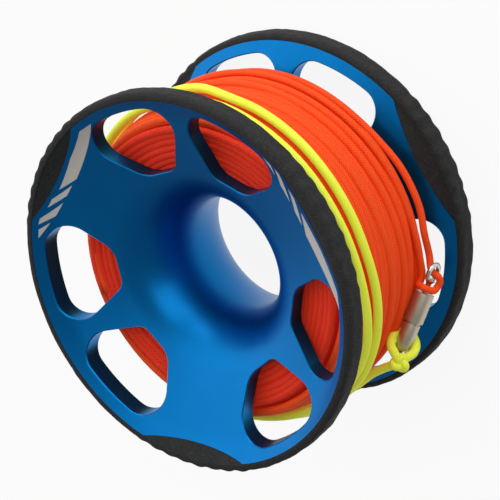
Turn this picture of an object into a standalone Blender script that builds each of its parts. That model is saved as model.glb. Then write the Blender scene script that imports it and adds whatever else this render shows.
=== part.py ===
"""Finger spool: a turned two-flange metal body with rubber rims, wound line, a keeper cord and a bolt snap.

Units are metres, +Z is up. The spool lies on its rear flange, its axis is Z and its rear face is at z = 0.
Profiles are written as (radius, height over the middle plane), and are turned about Z.
"""

import math

import bmesh
import bpy
from mathutils import Matrix, Vector

# Spool body
SPOOL_WIDTH = 0.060
PLATE_R = 0.050
LAND_WIDTH = 0.0012
RIM_CHAMFER = 0.0004
RIM_T = 0.00625
BEVEL_WIDTH = 0.0028
BEVEL_DROP = 0.003
DISH_SLOPE = 0.351
DISH_T = 0.005
THROAT_R = 0.0155
THROAT_MEET_DEG = 137.8
MOUTH_R = 0.015
HUB_WALL = 0.0025
TURN_STEPS = 48
THROAT_SPANS = 3
HUB_SPANS = 5

# Windows, each in the frame of the narrow spoke beside it
WINDOW_PAIRS = 3
NARROW_SPOKE_DEG = 94.0
SPOKE_STEP_DEG = 60.0
SPOKE_GAUGE_IN = 0.0094
NARROW_HALF = 0.0029
NARROW_TILT_DEG = -17.6
WINDOW_SPAN_DEG = 36.34
WIDE_TILT_DEG = -4.5
WINDOW_DEPTH = 0.0187
WINDOW_INNER_TURN_DEG = -10.9
WINDOW_RIM = 0.0031
CORNER_OUTER_NARROW = 0.0061
CORNER_OUTER_WIDE = 0.0066
CORNER_INNER_WIDE = 0.0073
CORNER_INNER_NARROW = 0.004
CORNER_SPANS = 4
WINDOW_OUTER_SPANS = 4

# Rubber grips: a ring bonded round each rim, and three pads let into scallops of the rim
GRIP_T = 0.0018
GRIP_SHOULDER = 0.0008
GRIP_EDGE = 0.0012
PAD_AZIMUTH_DEG = 33.4
PAD_COUNT = 3
SCALLOP_R = 0.150
SCALLOP_DEPTH = 0.0042
SCALLOP_SIDES = 160
PAD_SPARE = 0.0005

# Clearances
SEAT_GAP = 0.0003
TURN_GAP = 0.00045
CUT_OVERRUN = 0.005
WELD_DIST = 0.000005

# Line on the hub
LINE_R = 0.001
WOUND_INSET = 0.00575
WOUND_CROWN = 0.00425
WOUND_SIDE_ROOM = 0.0019
WOUND_FULLNESS = 2.6
WOUND_ROUNDNESS = 0.625
LOOP_POINTS = 24
WOUND_START_DEG = 205.0
CORE_END_LEAN = 0.002
CORE_SPANS = 8
NOTCH_LENGTH = 0.012

# Loose end of the line: azimuth, height as a share of the winding's half width, lift over the wound surface
TAIL_R = 0.00095
TAIL_OUT = (
    (190.0, -0.972, -0.0020),
    (178.0, -0.956, -0.0009),
    (165.0, -0.928, -0.0001),
    (150.0, -0.889, 0.0002),
    (135.0, -0.889, 0.0009),
    (122.0, -0.889, 0.0009),
    (110.0, -0.872, 0.0003),
    (96.0, -0.844, 0.0002),
    (82.0, -0.822, 0.0002),
    (68.0, -0.811, 0.0002),
    (56.0, -0.811, 0.0004),
    (46.0, -0.828, 0.0009),
    (36.0, -0.839, 0.0020),
    (28.0, -0.850, 0.0024),
    (20.0, -0.850, 0.0026),
    (13.0, -0.833, 0.0023),
)
TAIL_BACK = (
    (11.5, -0.694, 0.0006),
    (19.0, -0.683, 0.0002),
    (30.0, -0.650, 0.0002),
    (45.0, -0.611, 0.0002),
    (60.0, -0.578, 0.0002),
    (80.0, -0.544, 0.0002),
    (100.0, -0.517, 0.0002),
    (120.0, -0.494, 0.0002),
    (140.0, -0.478, 0.0002),
    (155.0, -0.467, 0.0002),
)
# The hitch on the eye, in the snap's own frame: outwards, across, along the snap
HITCH = (
    (-0.0022, 0.0002, -0.0028),
    (-0.0013, 0.0, -0.0011),
    (0.0, 0.0, 0.0),
    (0.0015, -0.0005, 0.00035),
    (0.00215, -0.00135, 0.0015),
    (0.0020, -0.0015, 0.0029),
    (0.00205, -0.00075, 0.0039),
    (0.0021, 0.00035, 0.0042),
    (0.0014, 0.0016, 0.00425),
    (0.0, 0.00215, 0.00425),
    (-0.00145, 0.0016, 0.0041),
    (-0.00215, 0.0005, 0.0036),
    (-0.00235, 0.0004, 0.0022),
    (-0.0027, 0.0012, 0.0004),
    (-0.0032, 0.0023, -0.0012),
)
TAIL_STEP = 0.0045
BEND_STEP_DEG = 28.0

# Keeper cord: azimuth, height as a share of the winding's half width, lift over the wound surface
KEEPER_R = 0.0012
KEEPER_ROUTE = (
    (-36.0, -0.194, 0.0010),
    (-48.0, -0.183, 0.0004),
    (-66.0, -0.111, 0.0002),
    (-92.0, 0.000, 0.0001),
    (-122.0, 0.083, 0.0001),
    (-155.0, 0.167, 0.0001),
    (-190.0, 0.239, 0.0001),
    (-225.0, 0.300, 0.0001),
    (-257.0, 0.361, 0.0001),
    (-271.0, 0.528, 0.0001),
    (-283.0, 0.561, 0.0001),
    (-300.0, 0.594, 0.0001),
    (-327.0, 0.611, 0.0001),
    (-343.0, 0.578, 0.0001),
    (-357.0, 0.489, 0.0001),
    (-376.0, 0.356, 0.0001),
    (-394.0, 0.306, 0.0006),
    (-415.0, 0.344, 0.0012),
    (-440.0, 0.383, 0.0008),
    (-470.0, 0.422, 0.0002),
    (-505.0, 0.483, 0.0001),
    (-545.0, 0.556, 0.0001),
    (-590.0, 0.667, 0.0001),
    (-630.0, 0.767, 0.0001),
    (-669.0, 0.839, 0.0001),
    (-692.0, 0.828, 0.0001),
    (-710.0, 0.767, 0.0001),
    (-724.0, 0.667, 0.0001),
    (-738.0, 0.544, 0.0001),
    (-756.0, 0.533, 0.0002),
    (-780.0, 0.561, 0.0004),
    (-808.0, 0.556, 0.0002),
    (-830.0, 0.578, 0.0002),
)
KEEPER_STEP = 0.0082

# Snap: where its eye stands, and which way its axis runs
EYE_AZIMUTH_DEG = -0.6
EYE_STAND = 0.0037
EYE_HEIGHT_SHARE = -0.834
SNAP_CLIMB_DEG = 24.3
SNAP_TURN_IN_DEG = 9.6
SNAP_BACK_DEG = 239.4

# Snap eye
EYE_MAJOR_R = 0.0023
EYE_WIRE_R = 0.00065
SHANK_R = 0.00075
EYE_HEAD_T = 0.0009

# Snap sleeve and hook arm; names that end in _S are places along the snap from the middle of its eye
NECK_LENGTH = 0.0033
CAP_T = 0.00075
SLEEVE_LENGTH = 0.0081
SLEEVE_WALL = 0.0003
ARM_R = 0.0009
ARM_SINK = 0.00025
ARM_FOOT = 0.0014
ARM_REACH = 0.0061
HOOK_LENGTH = 0.0095
# Shares of the way out from the arm's foot to its reach, and of the way from its foot to the hook's crown
ARM_ROUTE_SHARES = (
    (0.0, 0.0),
    (0.0, 0.296),
    (0.107, 0.42),
    (0.5, 0.531),
    (0.893, 0.636),
    (1.0, 0.765),
    (0.75, 0.883),
    (0.179, 0.969),
    (-0.536, 1.0),
    (-1.286, 1.0),
)
ARM_STEP = 0.0011

# Snap bolt and spring
BOLT_R = 0.00205
BOLT_HELD = 0.0021
SHOULDER_OUT = 0.0033
NOSE_R = 0.0017
NOSE_GAP = 0.0004
BOLT_EDGE = 0.0003
SPRING_WIRE_R = 0.0002
SPRING_COILS = 4
COIL_POINTS = 10
SNAP_STEPS = 24
SHANK_STEPS = 12
EYE_SIDES = 8
SLEEVE_EDGE = 0.0003

# Keeper loop round the nose, and its knot
LOOP_R = 0.0033
LOOP_PAST_SHOULDER = 0.0033
LOOP_LEAN = 0.0027
LOOP_OPEN_DEG = 40.0
LOOP_SPANS = 18
KNOT_R = 0.0020
KNOT_PAST_CROWN = 0.0015
KNOT_FRONT = 0.0029
KNOT_LEFT = -0.0008

# Colours
BLUE_METAL = (0.005, 0.15, 0.42)
BLACK_RUBBER = (0.022, 0.023, 0.024)
ORANGE_LINE = (0.85, 0.05, 0.01)
YELLOW_CORD = (0.72, 0.85, 0.04)
STEEL_PALE = (0.47, 0.43, 0.37)
STEEL_BRIGHT = (0.60, 0.58, 0.54)

HALF_WIDTH = SPOOL_WIDTH / 2
FULL_TURN = 2 * math.pi
LAND_R = PLATE_R - LAND_WIDTH
DISH_R = LAND_R - BEVEL_WIDTH
HUB_R = THROAT_R + HUB_WALL
WINDOW_OUTER_R = PLATE_R - WINDOW_RIM
WINDOW_INNER = WINDOW_OUTER_R - WINDOW_DEPTH
SPOKE_GAUGE_R = WINDOW_OUTER_R - SPOKE_GAUGE_IN
NARROW_HALF_DEG = math.degrees(math.asin(NARROW_HALF / SPOKE_GAUGE_R))
WIDE_HALF_DEG = SPOKE_STEP_DEG - NARROW_HALF_DEG - WINDOW_SPAN_DEG
WIDE_HALF = SPOKE_GAUGE_R * math.sin(math.radians(WIDE_HALF_DEG))
GRIP_R = PLATE_R + GRIP_T
WOUND_R = PLATE_R - WOUND_INSET
WOUND_EDGE_R = WOUND_R - WOUND_CROWN
EYE_STAND_R = WOUND_R + EYE_STAND
BORE_R = BOLT_R + SEAT_GAP
SLEEVE_R = BORE_R + SLEEVE_WALL
SPRING_COIL_R = BORE_R - SEAT_GAP - SPRING_WIRE_R
EYE_HEAD_R = SPRING_COIL_R - SPRING_WIRE_R - SEAT_GAP
CAP_TOP_S = EYE_MAJOR_R + NECK_LENGTH
MOUTH_S = CAP_TOP_S + SLEEVE_LENGTH
BOLT_TOP_S = MOUTH_S - BOLT_HELD
SHOULDER_S = MOUTH_S + SHOULDER_OUT
CROWN_S = MOUTH_S + HOOK_LENGTH
NOSE_END_S = CROWN_S - ARM_R - NOSE_GAP


def clear_scene():
    for obj in list(bpy.data.objects):
        bpy.data.objects.remove(obj, do_unlink=True)


def new_collection(name):
    collection = bpy.data.collections.new(name)
    bpy.context.scene.collection.children.link(collection)
    return collection


def new_material(name, colour, roughness, metallic):
    material = bpy.data.materials.new(name)
    material.use_nodes = True
    shader = material.node_tree.nodes["Principled BSDF"]
    shader.inputs["Base Color"].default_value = (*colour, 1.0)
    shader.inputs["Roughness"].default_value = roughness
    shader.inputs["Metallic"].default_value = metallic
    return material


def new_object(name, data, material, collection):
    obj = bpy.data.objects.new(name, data)
    if material is not None:
        data.materials.append(material)
    collection.objects.link(obj)
    return obj


def shade_round(obj, sharp_deg=35.0):
    obj.data.shade_smooth()
    obj.data.set_sharp_from_angle(angle=math.radians(sharp_deg))


def make_cutter(obj):
    obj.hide_render = True
    obj.display_type = "WIRE"
    return obj


def cut(obj, cutter):
    change = obj.modifiers.new("cut_" + cutter.name, "BOOLEAN")
    change.operation = "DIFFERENCE"
    change.solver = "EXACT"
    change.object = cutter


def join(obj, tool):
    change = obj.modifiers.new("join_" + tool.name, "BOOLEAN")
    change.operation = "UNION"
    change.solver = "EXACT"
    change.object = tool


def turned(name, profile, material, collection, steps=TURN_STEPS):
    """Turn a profile of (radius, height), which runs down its outer side, about the object's Z axis."""
    mesh = bpy.data.meshes.new(name)
    count = len(profile)
    closed = profile[0][0] > 0
    edges = [(i, (i + 1) % count) for i in range(count if closed else count - 1)]
    mesh.from_pydata([(r, 0, z) for r, z in profile], edges, [])
    obj = new_object(name, mesh, material, collection)
    screw = obj.modifiers.new("turn", "SCREW")
    screw.axis = "Z"
    screw.steps = steps
    screw.render_steps = steps
    screw.use_merge_vertices = True
    screw.merge_threshold = WELD_DIST
    screw.use_smooth_shade = True
    return obj


def curve_to_mesh(curve_object, collection, material=None):
    """Replace a curve object by a mesh object of the same name, with its caps welded on."""
    graph = bpy.context.evaluated_depsgraph_get()
    mesh = bpy.data.meshes.new_from_object(curve_object.evaluated_get(graph))
    shape = bmesh.new()
    shape.from_mesh(mesh)
    bmesh.ops.remove_doubles(shape, verts=shape.verts, dist=WELD_DIST)
    shape.to_mesh(mesh)
    shape.free()
    name = curve_object.name
    place = curve_object.matrix_world.copy()
    bpy.data.objects.remove(curve_object, do_unlink=True)
    mesh.materials.clear()
    obj = new_object(name, mesh, material, collection)
    obj.matrix_world = place
    return obj


def prism(name, outline, low, high, collection):
    """A flat outline in plan, filled and given its thickness, as a mesh."""
    curve = bpy.data.curves.new(name, "CURVE")
    curve.dimensions = "2D"
    curve.fill_mode = "BOTH"
    curve.extrude = (high - low) / 2
    spline = curve.splines.new("POLY")
    spline.points.add(len(outline) - 1)
    for point, (x, y) in zip(spline.points, outline):
        point.co = (x, y, 0, 1)
    spline.use_cyclic_u = True
    obj = new_object(name, curve, None, collection)
    obj.location = (0, 0, (high + low) / 2)
    bpy.context.view_layer.update()
    return curve_to_mesh(obj, collection)


def tube(name, route, radius, material, collection, sides_level=2):
    """A round bar along a route of points, with filled ends."""
    curve = bpy.data.curves.new(name, "CURVE")
    curve.dimensions = "3D"
    curve.bevel_depth = radius
    curve.bevel_resolution = sides_level
    curve.use_fill_caps = True
    curve.twist_mode = "MINIMUM"
    spline = curve.splines.new("POLY")
    spline.points.add(len(route) - 1)
    for point, place in zip(spline.points, route):
        point.co = (*place, 1)
    spline.use_smooth = True
    return new_object(name, curve, material, collection)


def smooth_route(points, step, bend_deg=BEND_STEP_DEG):
    """Points along a smooth curve through the given ones: near the step apart, and closer where it bends."""
    points = [Vector(p) for p in points]
    chords = [(b - a).length for a, b in zip(points, points[1:])]
    headings = [(b - a) / d for a, b, d in zip(points, points[1:], chords)]
    slopes = [headings[0]]
    for u, v, d, e in zip(headings, headings[1:], chords, chords[1:]):
        slopes.append((e * u + d * v) / (d + e))
    slopes.append(headings[-1])
    if len(headings) > 1:
        slopes[0] = (2 * headings[0] - slopes[1]).normalized()
        slopes[-1] = (2 * headings[-1] - slopes[-2]).normalized()
    route = []
    for a, b, u, v, d in zip(points, points[1:], slopes, slopes[1:], chords):
        turn_deg = math.degrees(u.angle(v))
        count = max(1, round(d / step), math.ceil(turn_deg / bend_deg))
        for k in range(count):
            t = k / count
            route.append(
                (2 * t**3 - 3 * t**2 + 1) * a
                + (t**3 - 2 * t**2 + t) * d * u
                + (3 * t**2 - 2 * t**3) * b
                + (t**3 - t**2) * d * v
            )
    return route + [points[-1]]


def route_length(route):
    return sum((b - a).length for a, b in zip(route, route[1:]))


def segment_gap(p, q, r, s):
    """Least distance between the segments p to q and r to s, on sampled points."""
    samples = 6
    best = (p - r).length
    for k in range(samples + 1):
        point = p.lerp(q, k / samples)
        along = s - r
        share = max(0.0, min(1.0, (point - r).dot(along) / along.length_squared))
        best = min(best, (point - r.lerp(s, share)).length)
    return best


def least_self_gap(route, radius, apart):
    """Least gap of a tube to itself, between places that lie further apart than that along it."""
    spans = list(zip(route, route[1:]))
    lengths = [0.0]
    for a, b in spans:
        lengths.append(lengths[-1] + (b - a).length)
    best = lengths[-1]
    for i, (p, q) in enumerate(spans):
        for j in range(i + 1, len(spans)):
            r, s = spans[j]
            if lengths[j] - lengths[i + 1] < apart or (p - r).length - best > 2 * apart:
                continue
            best = min(best, segment_gap(p, q, r, s) - 2 * radius)
    return best


def mirrored(profile):
    """The same profile on the other side of the middle plane, still running down its outer side."""
    return [(r, -z) for r, z in reversed(profile)]


def raised(profile):
    """A profile over the middle plane, moved to stand on the rear face."""
    return [(r, z + HALF_WIDTH) for r, z in profile]


def arc_points(centre, radius, start, stop, spans):
    """Points of an arc between two angles, both ends included."""
    step = (stop - start) / spans
    return [
        (centre[0] + radius * math.cos(start + k * step), centre[1] + radius * math.sin(start + k * step))
        for k in range(spans + 1)
    ]


DISH_LENGTH_FACTOR = math.sqrt(1 + DISH_SLOPE**2)
DISH_ANGLE = math.atan(DISH_SLOPE)


def dish_height(r):
    """Height of a flange's outer face over the middle plane."""
    return HALF_WIDTH - BEVEL_DROP - DISH_SLOPE * (DISH_R - r)


def inner_height(r):
    """Height of a flange's inner face over the middle plane."""
    return dish_height(r) - DISH_T


HUB_ARC_R = (inner_height(0) + DISH_SLOPE * HUB_R) / (DISH_LENGTH_FACTOR - DISH_SLOPE)
HUB_ARC_X = HUB_R + HUB_ARC_R
WOUND_HALF = inner_height(WOUND_EDGE_R) - WOUND_SIDE_ROOM
EYE_HEIGHT = EYE_HEIGHT_SHARE * WOUND_HALF


def hub_surface(z, clearance):
    """Radius of the body between its flanges at a height over the middle plane, with a clearance off it."""
    reach = HUB_ARC_R - clearance
    arc_end = reach * math.cos(DISH_ANGLE)
    if abs(z) <= arc_end:
        return HUB_ARC_X - math.sqrt(reach**2 - z**2)
    return HUB_ARC_X - reach * math.sin(DISH_ANGLE) + (abs(z) - arc_end) / DISH_SLOPE


def throat_points():
    """Half of the bore: the flare of the throat and the softer mouth that runs into the dish."""
    meet = math.radians(THROAT_MEET_DEG)
    c, s = math.cos(meet), math.sin(meet)
    sink = dish_height(0) - MOUTH_R * DISH_LENGTH_FACTOR
    flare_r = (sink + DISH_SLOPE * (THROAT_R - MOUTH_R * c) + MOUTH_R * s) / (s - DISH_SLOPE * (1 + c))
    throat_x = THROAT_R + flare_r
    mouth_centre = (throat_x + (flare_r - MOUTH_R) * c, (flare_r - MOUTH_R) * s)
    flare = arc_points((throat_x, 0), flare_r, math.pi, meet, THROAT_SPANS)
    mouth = arc_points(mouth_centre, MOUTH_R, meet, math.pi / 2 + DISH_ANGLE, THROAT_SPANS)
    return flare + mouth[1:]


def half_body_profile():
    """Upper half of the body, from the middle plane up the bore, over the rim and down to the hub."""
    bore = throat_points()
    rim = [
        (DISH_R, dish_height(DISH_R)),
        (LAND_R, HALF_WIDTH),
        (PLATE_R - RIM_CHAMFER, HALF_WIDTH),
        (PLATE_R, HALF_WIDTH - RIM_CHAMFER),
        (PLATE_R, HALF_WIDTH - RIM_T),
        (DISH_R, inner_height(DISH_R)),
    ]
    hub = arc_points((HUB_ARC_X, 0), HUB_ARC_R, math.pi / 2 + DISH_ANGLE, math.pi, HUB_SPANS)
    return bore + rim + hub


def body_profile():
    upper = half_body_profile()
    lower = mirrored(upper)
    return raised(upper + lower[1:-1])


def line_of(base_deg, offset, tilt_deg, side):
    """A window's side: a line beside a spoke, at an offset at the gauge radius, tilted from the spoke."""
    base = math.radians(base_deg)
    along = Vector((math.cos(base), math.sin(base)))
    across = side * Vector((-math.sin(base), math.cos(base)))
    point = SPOKE_GAUGE_R * along + offset * across
    tilted = base + side * math.radians(tilt_deg)
    direction = Vector((math.cos(tilted), math.sin(tilted)))
    normal = side * Vector((-math.sin(tilted), math.cos(tilted)))
    return point, direction, normal


def outer_corner(line, radius):
    """Centre of a corner that touches a side and the outer arc."""
    point, direction, normal = line
    start = point + radius * normal
    half = start.dot(direction)
    rest = start.length_squared - (WINDOW_OUTER_R - radius) ** 2
    return start + (math.sqrt(half * half - rest) - half) * direction


def inner_corner(line, chord_normal, radius):
    """Centre of a corner that touches a side and the inner chord."""
    point, direction, normal = line
    start = point + radius * normal
    return start + (WINDOW_INNER + radius - start.dot(chord_normal)) / direction.dot(chord_normal) * direction


def corner_arc(centre, radius, start, stop):
    """Arc from one outward direction to the other, the short way round."""
    first = math.atan2(start.y, start.x)
    turn = (math.atan2(stop.y, stop.x) - first + math.pi) % FULL_TURN - math.pi
    return arc_points(centre, radius, first, first + turn, CORNER_SPANS)


def corner_room(corners, radii):
    """Share of the corners' radii that the sides between them have room for, or 1 if they have more."""
    touches = []
    for k, radius in enumerate(radii):
        before, corner, after = corners[k - 1], corners[k], corners[(k + 1) % len(corners)]
        touches.append(radius / math.tan((before - corner).angle(after - corner) / 2))
    room = 1.0
    for k, touch in enumerate(touches):
        room = min(room, (corners[k] - corners[k - 1]).length / (touch + touches[k - 1]))
    return room


def window_outline():
    """One window, on the far side of a narrow spoke that lies along X."""
    narrow = line_of(0, NARROW_HALF, NARROW_TILT_DEG, 1)
    wide = line_of(SPOKE_STEP_DEG, WIDE_HALF, WIDE_TILT_DEG, -1)
    chord_turn = math.radians(SPOKE_STEP_DEG / 2 + WINDOW_INNER_TURN_DEG)
    chord = Vector((math.cos(chord_turn), math.sin(chord_turn)))
    sharp = [outer_corner(side, 0) for side in (narrow, wide)]
    sharp += [inner_corner(side, chord, 0) for side in (wide, narrow)]
    radii = [CORNER_OUTER_NARROW, CORNER_OUTER_WIDE, CORNER_INNER_WIDE, CORNER_INNER_NARROW]
    room = corner_room(sharp, radii)
    radii = [room * radius for radius in radii]
    outer_narrow = outer_corner(narrow, radii[0])
    outer_wide = outer_corner(wide, radii[1])
    inner_wide = inner_corner(wide, chord, radii[2])
    inner_narrow = inner_corner(narrow, chord, radii[3])
    points = corner_arc(outer_narrow, radii[0], -narrow[2], outer_narrow)
    rim_start = math.atan2(outer_narrow.y, outer_narrow.x)
    rim_stop = math.atan2(outer_wide.y, outer_wide.x)
    points += arc_points((0, 0), WINDOW_OUTER_R, rim_start, rim_stop, WINDOW_OUTER_SPANS)[1:-1]
    points += corner_arc(outer_wide, radii[1], outer_wide, -wide[2])
    points += corner_arc(inner_wide, radii[2], -wide[2], -chord)
    points += corner_arc(inner_narrow, radii[3], -chord, -narrow[2])
    return points


def turned_outline(points, angle_deg, flip):
    """An outline in plan, flipped over the X axis first if asked, then turned about the origin."""
    angle = math.radians(angle_deg)
    c, s = math.cos(angle), math.sin(angle)
    placed = []
    for x, y in points:
        y = -y if flip else y
        placed.append((c * x - s * y, s * x + c * y))
    return list(reversed(placed)) if flip else placed


def scallop_cutters(prefix, radius, collection):
    """Upright cylinders that cut the scallops for the pads."""
    cutters = []
    for k in range(PAD_COUNT):
        angle = math.radians(PAD_AZIMUTH_DEG) + k * FULL_TURN / PAD_COUNT
        reach = PLATE_R - SCALLOP_DEPTH + SCALLOP_R
        mesh = bpy.data.meshes.new(f"{prefix}_{k + 1}")
        shape = bmesh.new()
        bmesh.ops.create_cone(
            shape,
            cap_ends=True,
            segments=SCALLOP_SIDES,
            radius1=radius,
            radius2=radius,
            depth=SPOOL_WIDTH + 4 * CUT_OVERRUN,
        )
        shape.to_mesh(mesh)
        shape.free()
        cutter = make_cutter(new_object(mesh.name, mesh, None, collection))
        cutter.location = (reach * math.cos(angle), reach * math.sin(angle), HALF_WIDTH)
        cutter.rotation_euler = (0, 0, angle)
        cutters.append(cutter)
    return cutters


def make_spool_body(parts, cutters, material):
    body = turned("spool_body", body_profile(), material, parts)
    outline = window_outline()
    for k in range(WINDOW_PAIRS):
        spoke = NARROW_SPOKE_DEG + 2 * k * SPOKE_STEP_DEG
        for flip in (False, True):
            name = f"window_{k + 1}_{'right' if flip else 'left'}"
            placed = turned_outline(outline, spoke, flip)
            window = prism(name, placed, -CUT_OVERRUN, SPOOL_WIDTH + CUT_OVERRUN, cutters)
            cut(body, make_cutter(window))
    for scallop in scallop_cutters("scallop", SCALLOP_R, cutters):
        cut(body, scallop)


def grip_profile():
    """Section of the upper grip: the ring round the rim with the pad that continues the flange's faces."""
    pad_r = PLATE_R - SCALLOP_DEPTH - PAD_SPARE
    return [
        (pad_r, dish_height(pad_r)),
        (DISH_R, dish_height(DISH_R)),
        (LAND_R, HALF_WIDTH),
        (GRIP_R - GRIP_SHOULDER, HALF_WIDTH),
        (GRIP_R, HALF_WIDTH - GRIP_EDGE),
        (GRIP_R, HALF_WIDTH - RIM_T + GRIP_EDGE),
        (GRIP_R - GRIP_SHOULDER, HALF_WIDTH - RIM_T),
        (PLATE_R, HALF_WIDTH - RIM_T),
        (DISH_R, inner_height(DISH_R)),
        (pad_r, inner_height(pad_r)),
    ]


def make_grips(parts, cutters, material):
    mesh = bpy.data.meshes.new("plate_clearance")
    shape = bmesh.new()
    bmesh.ops.create_cone(
        shape,
        cap_ends=True,
        segments=TURN_STEPS,
        radius1=PLATE_R + SEAT_GAP,
        radius2=PLATE_R + SEAT_GAP,
        depth=SPOOL_WIDTH + 2 * CUT_OVERRUN,
    )
    shape.to_mesh(mesh)
    shape.free()
    clearance = make_cutter(new_object(mesh.name, mesh, None, cutters))
    clearance.location = (0, 0, HALF_WIDTH)
    for scallop in scallop_cutters("pad_seat", SCALLOP_R - SEAT_GAP, cutters):
        cut(clearance, scallop)
    upper = grip_profile()
    for name, profile in (("front_grip", upper), ("rear_grip", mirrored(upper))):
        grip = turned(name, raised(profile), material, parts)
        cut(grip, clearance)


def wound_surface(z):
    """Radius of the wound line's surface at a height over the middle plane."""
    share = min(1.0, abs(z) / WOUND_HALF)
    return WOUND_EDGE_R + (WOUND_R - WOUND_EDGE_R) * (1 - share**WOUND_FULLNESS) ** WOUND_ROUNDNESS


def on_wound(azimuth_deg, z, over):
    """A point over the wound surface, in the part's frame."""
    angle = math.radians(azimuth_deg)
    r = wound_surface(z) + over
    return Vector((r * math.cos(angle), r * math.sin(angle), z + HALF_WIDTH))


def wound_lean(z):
    """How much longer a step out along the radius is than one square to the wound surface."""
    step = LINE_R / 2
    slope = (wound_surface(z + step) - wound_surface(z - step)) / (2 * step)
    return math.sqrt(1 + slope**2)


def span_sag(radius, step):
    """How far the middle of a straight span falls inside the circle that its ends are on."""
    return step**2 / (8 * radius)


def winding_stations():
    """Heights of the winding's centre line at equal steps along the wound surface, from front to rear."""
    top = WOUND_HALF - LINE_R
    count = 400
    heights = [top - 2 * top * k / count for k in range(count + 1)]
    lengths = [0.0]
    for a, b in zip(heights, heights[1:]):
        lengths.append(lengths[-1] + math.hypot(wound_surface(b) - wound_surface(a), b - a))
    pitch = 2 * LINE_R + TURN_GAP
    stations = []
    place = 0
    total = int(lengths[-1] / pitch) * LOOP_POINTS
    for k in range(total + 1):
        wanted = lengths[-1] * k / total
        while place < count - 1 and lengths[place + 1] < wanted:
            place += 1
        share = (wanted - lengths[place]) / (lengths[place + 1] - lengths[place])
        stations.append(heights[place] + share * (heights[place + 1] - heights[place]))
    return stations


def winding_route():
    """Centre line of the outer turns, which come up out of the core in front and end straight at the rear."""
    stations = winding_stations()
    step = 360.0 / LOOP_POINTS
    route = [on_wound(WOUND_START_DEG - k * step, z, -LINE_R) for k, z in enumerate(stations)]
    outward = Vector((route[0].x, route[0].y, 0)).normalized()
    back = Vector((-outward.y, outward.x, 0))
    dip = 2 * LINE_R
    middle = route[0] + 2 * dip * back - dip * outward
    buried = middle + 2 * dip * back - dip / 2 * outward
    outward = Vector((route[-1].x, route[-1].y, 0)).normalized()
    half_step = math.pi / LOOP_POINTS
    onward = math.cos(half_step) * Vector((outward.y, -outward.x, 0)) - math.sin(half_step) * outward
    return [buried, middle] + route + [route[-1] + 2 * LINE_R * onward]


def core_profile():
    """The inner turns as one turned solid, seated on the hub."""
    drop = 2 * LINE_R + SEAT_GAP + span_sag(WOUND_R, FULL_TURN * WOUND_R / LOOP_POINTS)
    end = WOUND_HALF - LINE_R / 2
    heights = [end * math.cos(math.pi * k / CORE_SPANS) for k in range(CORE_SPANS + 1)]
    outside = [(wound_surface(z) - drop, z) for z in heights]
    foot = end - CORE_END_LEAN
    inner = [foot * (2 * k / HUB_SPANS - 1) for k in range(HUB_SPANS + 1)]
    inside = [(hub_surface(z, SEAT_GAP), z) for z in inner]
    return raised(outside + inside)


def make_line(parts, cutters, material):
    core = turned("line_core", core_profile(), material, parts)
    route = winding_route()
    tube("line_winding", route, LINE_R, material, parts, 1)
    print("line_winding: least gap to itself, mm:", round(1000 * least_self_gap(route, LINE_R, WOUND_R), 3))
    start = route[0]
    heading = (route[1] - route[0]).normalized()
    side = heading.cross(Vector((0, 0, 1))).normalized()
    up = side.cross(heading)
    box = bpy.data.meshes.new("core_notch")
    shape = bmesh.new()
    bmesh.ops.create_cube(shape, size=1.0)
    shape.to_mesh(box)
    shape.free()
    notch = make_cutter(new_object("core_notch", box, None, cutters))
    width = 2 * (LINE_R + SEAT_GAP)
    notch.scale = (NOTCH_LENGTH, 2 * width, width)
    turn = Matrix((heading, side, up)).transposed()
    centre = start + (NOTCH_LENGTH / 2 - SEAT_GAP) * heading - width / 2 * side
    notch.matrix_world = Matrix.LocRotScale(centre, turn, notch.scale)
    cut(core, notch)
    return route


def snap_frame():
    """Frame of the snap: origin at the middle of its eye, Z along the snap, X away from the spool's axis."""
    azimuth = math.radians(EYE_AZIMUTH_DEG)
    climb = math.radians(SNAP_CLIMB_DEG)
    turn_in = math.radians(SNAP_TURN_IN_DEG)
    outward = Vector((math.cos(azimuth), math.sin(azimuth), 0))
    clockwise = Vector((math.sin(azimuth), -math.cos(azimuth), 0))
    along = math.cos(climb) * (math.cos(turn_in) * clockwise - math.sin(turn_in) * outward)
    along.z = math.sin(climb)
    along.normalize()
    x_axis = (outward - outward.dot(along) * along).normalized()
    y_axis = along.cross(x_axis)
    origin = EYE_STAND_R * outward + Vector((0, 0, HALF_WIDTH + EYE_HEIGHT))
    return Matrix.Translation(origin) @ Matrix((x_axis, y_axis, along)).transposed().to_4x4()


def cord_over(route, radius, step):
    """World points of a cord that lies over the wound surface at each place of its route."""
    over = radius + SEAT_GAP + span_sag(WOUND_R, step)
    points = []
    for azimuth, height_share, lift in route:
        z = height_share * WOUND_HALF
        points.append(on_wound(azimuth, z, over * wound_lean(z) + lift))
    return points


def make_line_tail(parts, material, winding):
    """The line's loose end: from the winding's last turn to the eye, hitched there, and back again."""
    frame = snap_frame()
    last, end = winding[-2:]
    heading = (end - last).normalized()
    start = end + SEAT_GAP * heading
    lead = [start, start + 2 * LINE_R * heading]
    hitch = [frame @ Vector(p) for p in HITCH]
    points = lead + cord_over(TAIL_OUT, TAIL_R, TAIL_STEP) + hitch + cord_over(TAIL_BACK, TAIL_R, TAIL_STEP)
    route = smooth_route(points, TAIL_STEP)
    print("line_tail: least gap to itself, mm:", round(1000 * least_self_gap(route, TAIL_R, 6 * TAIL_R), 3))
    print("line_tail: length, m:", round(route_length(route), 4))
    tube("line_tail", route, TAIL_R, material, parts, 2)


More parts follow.
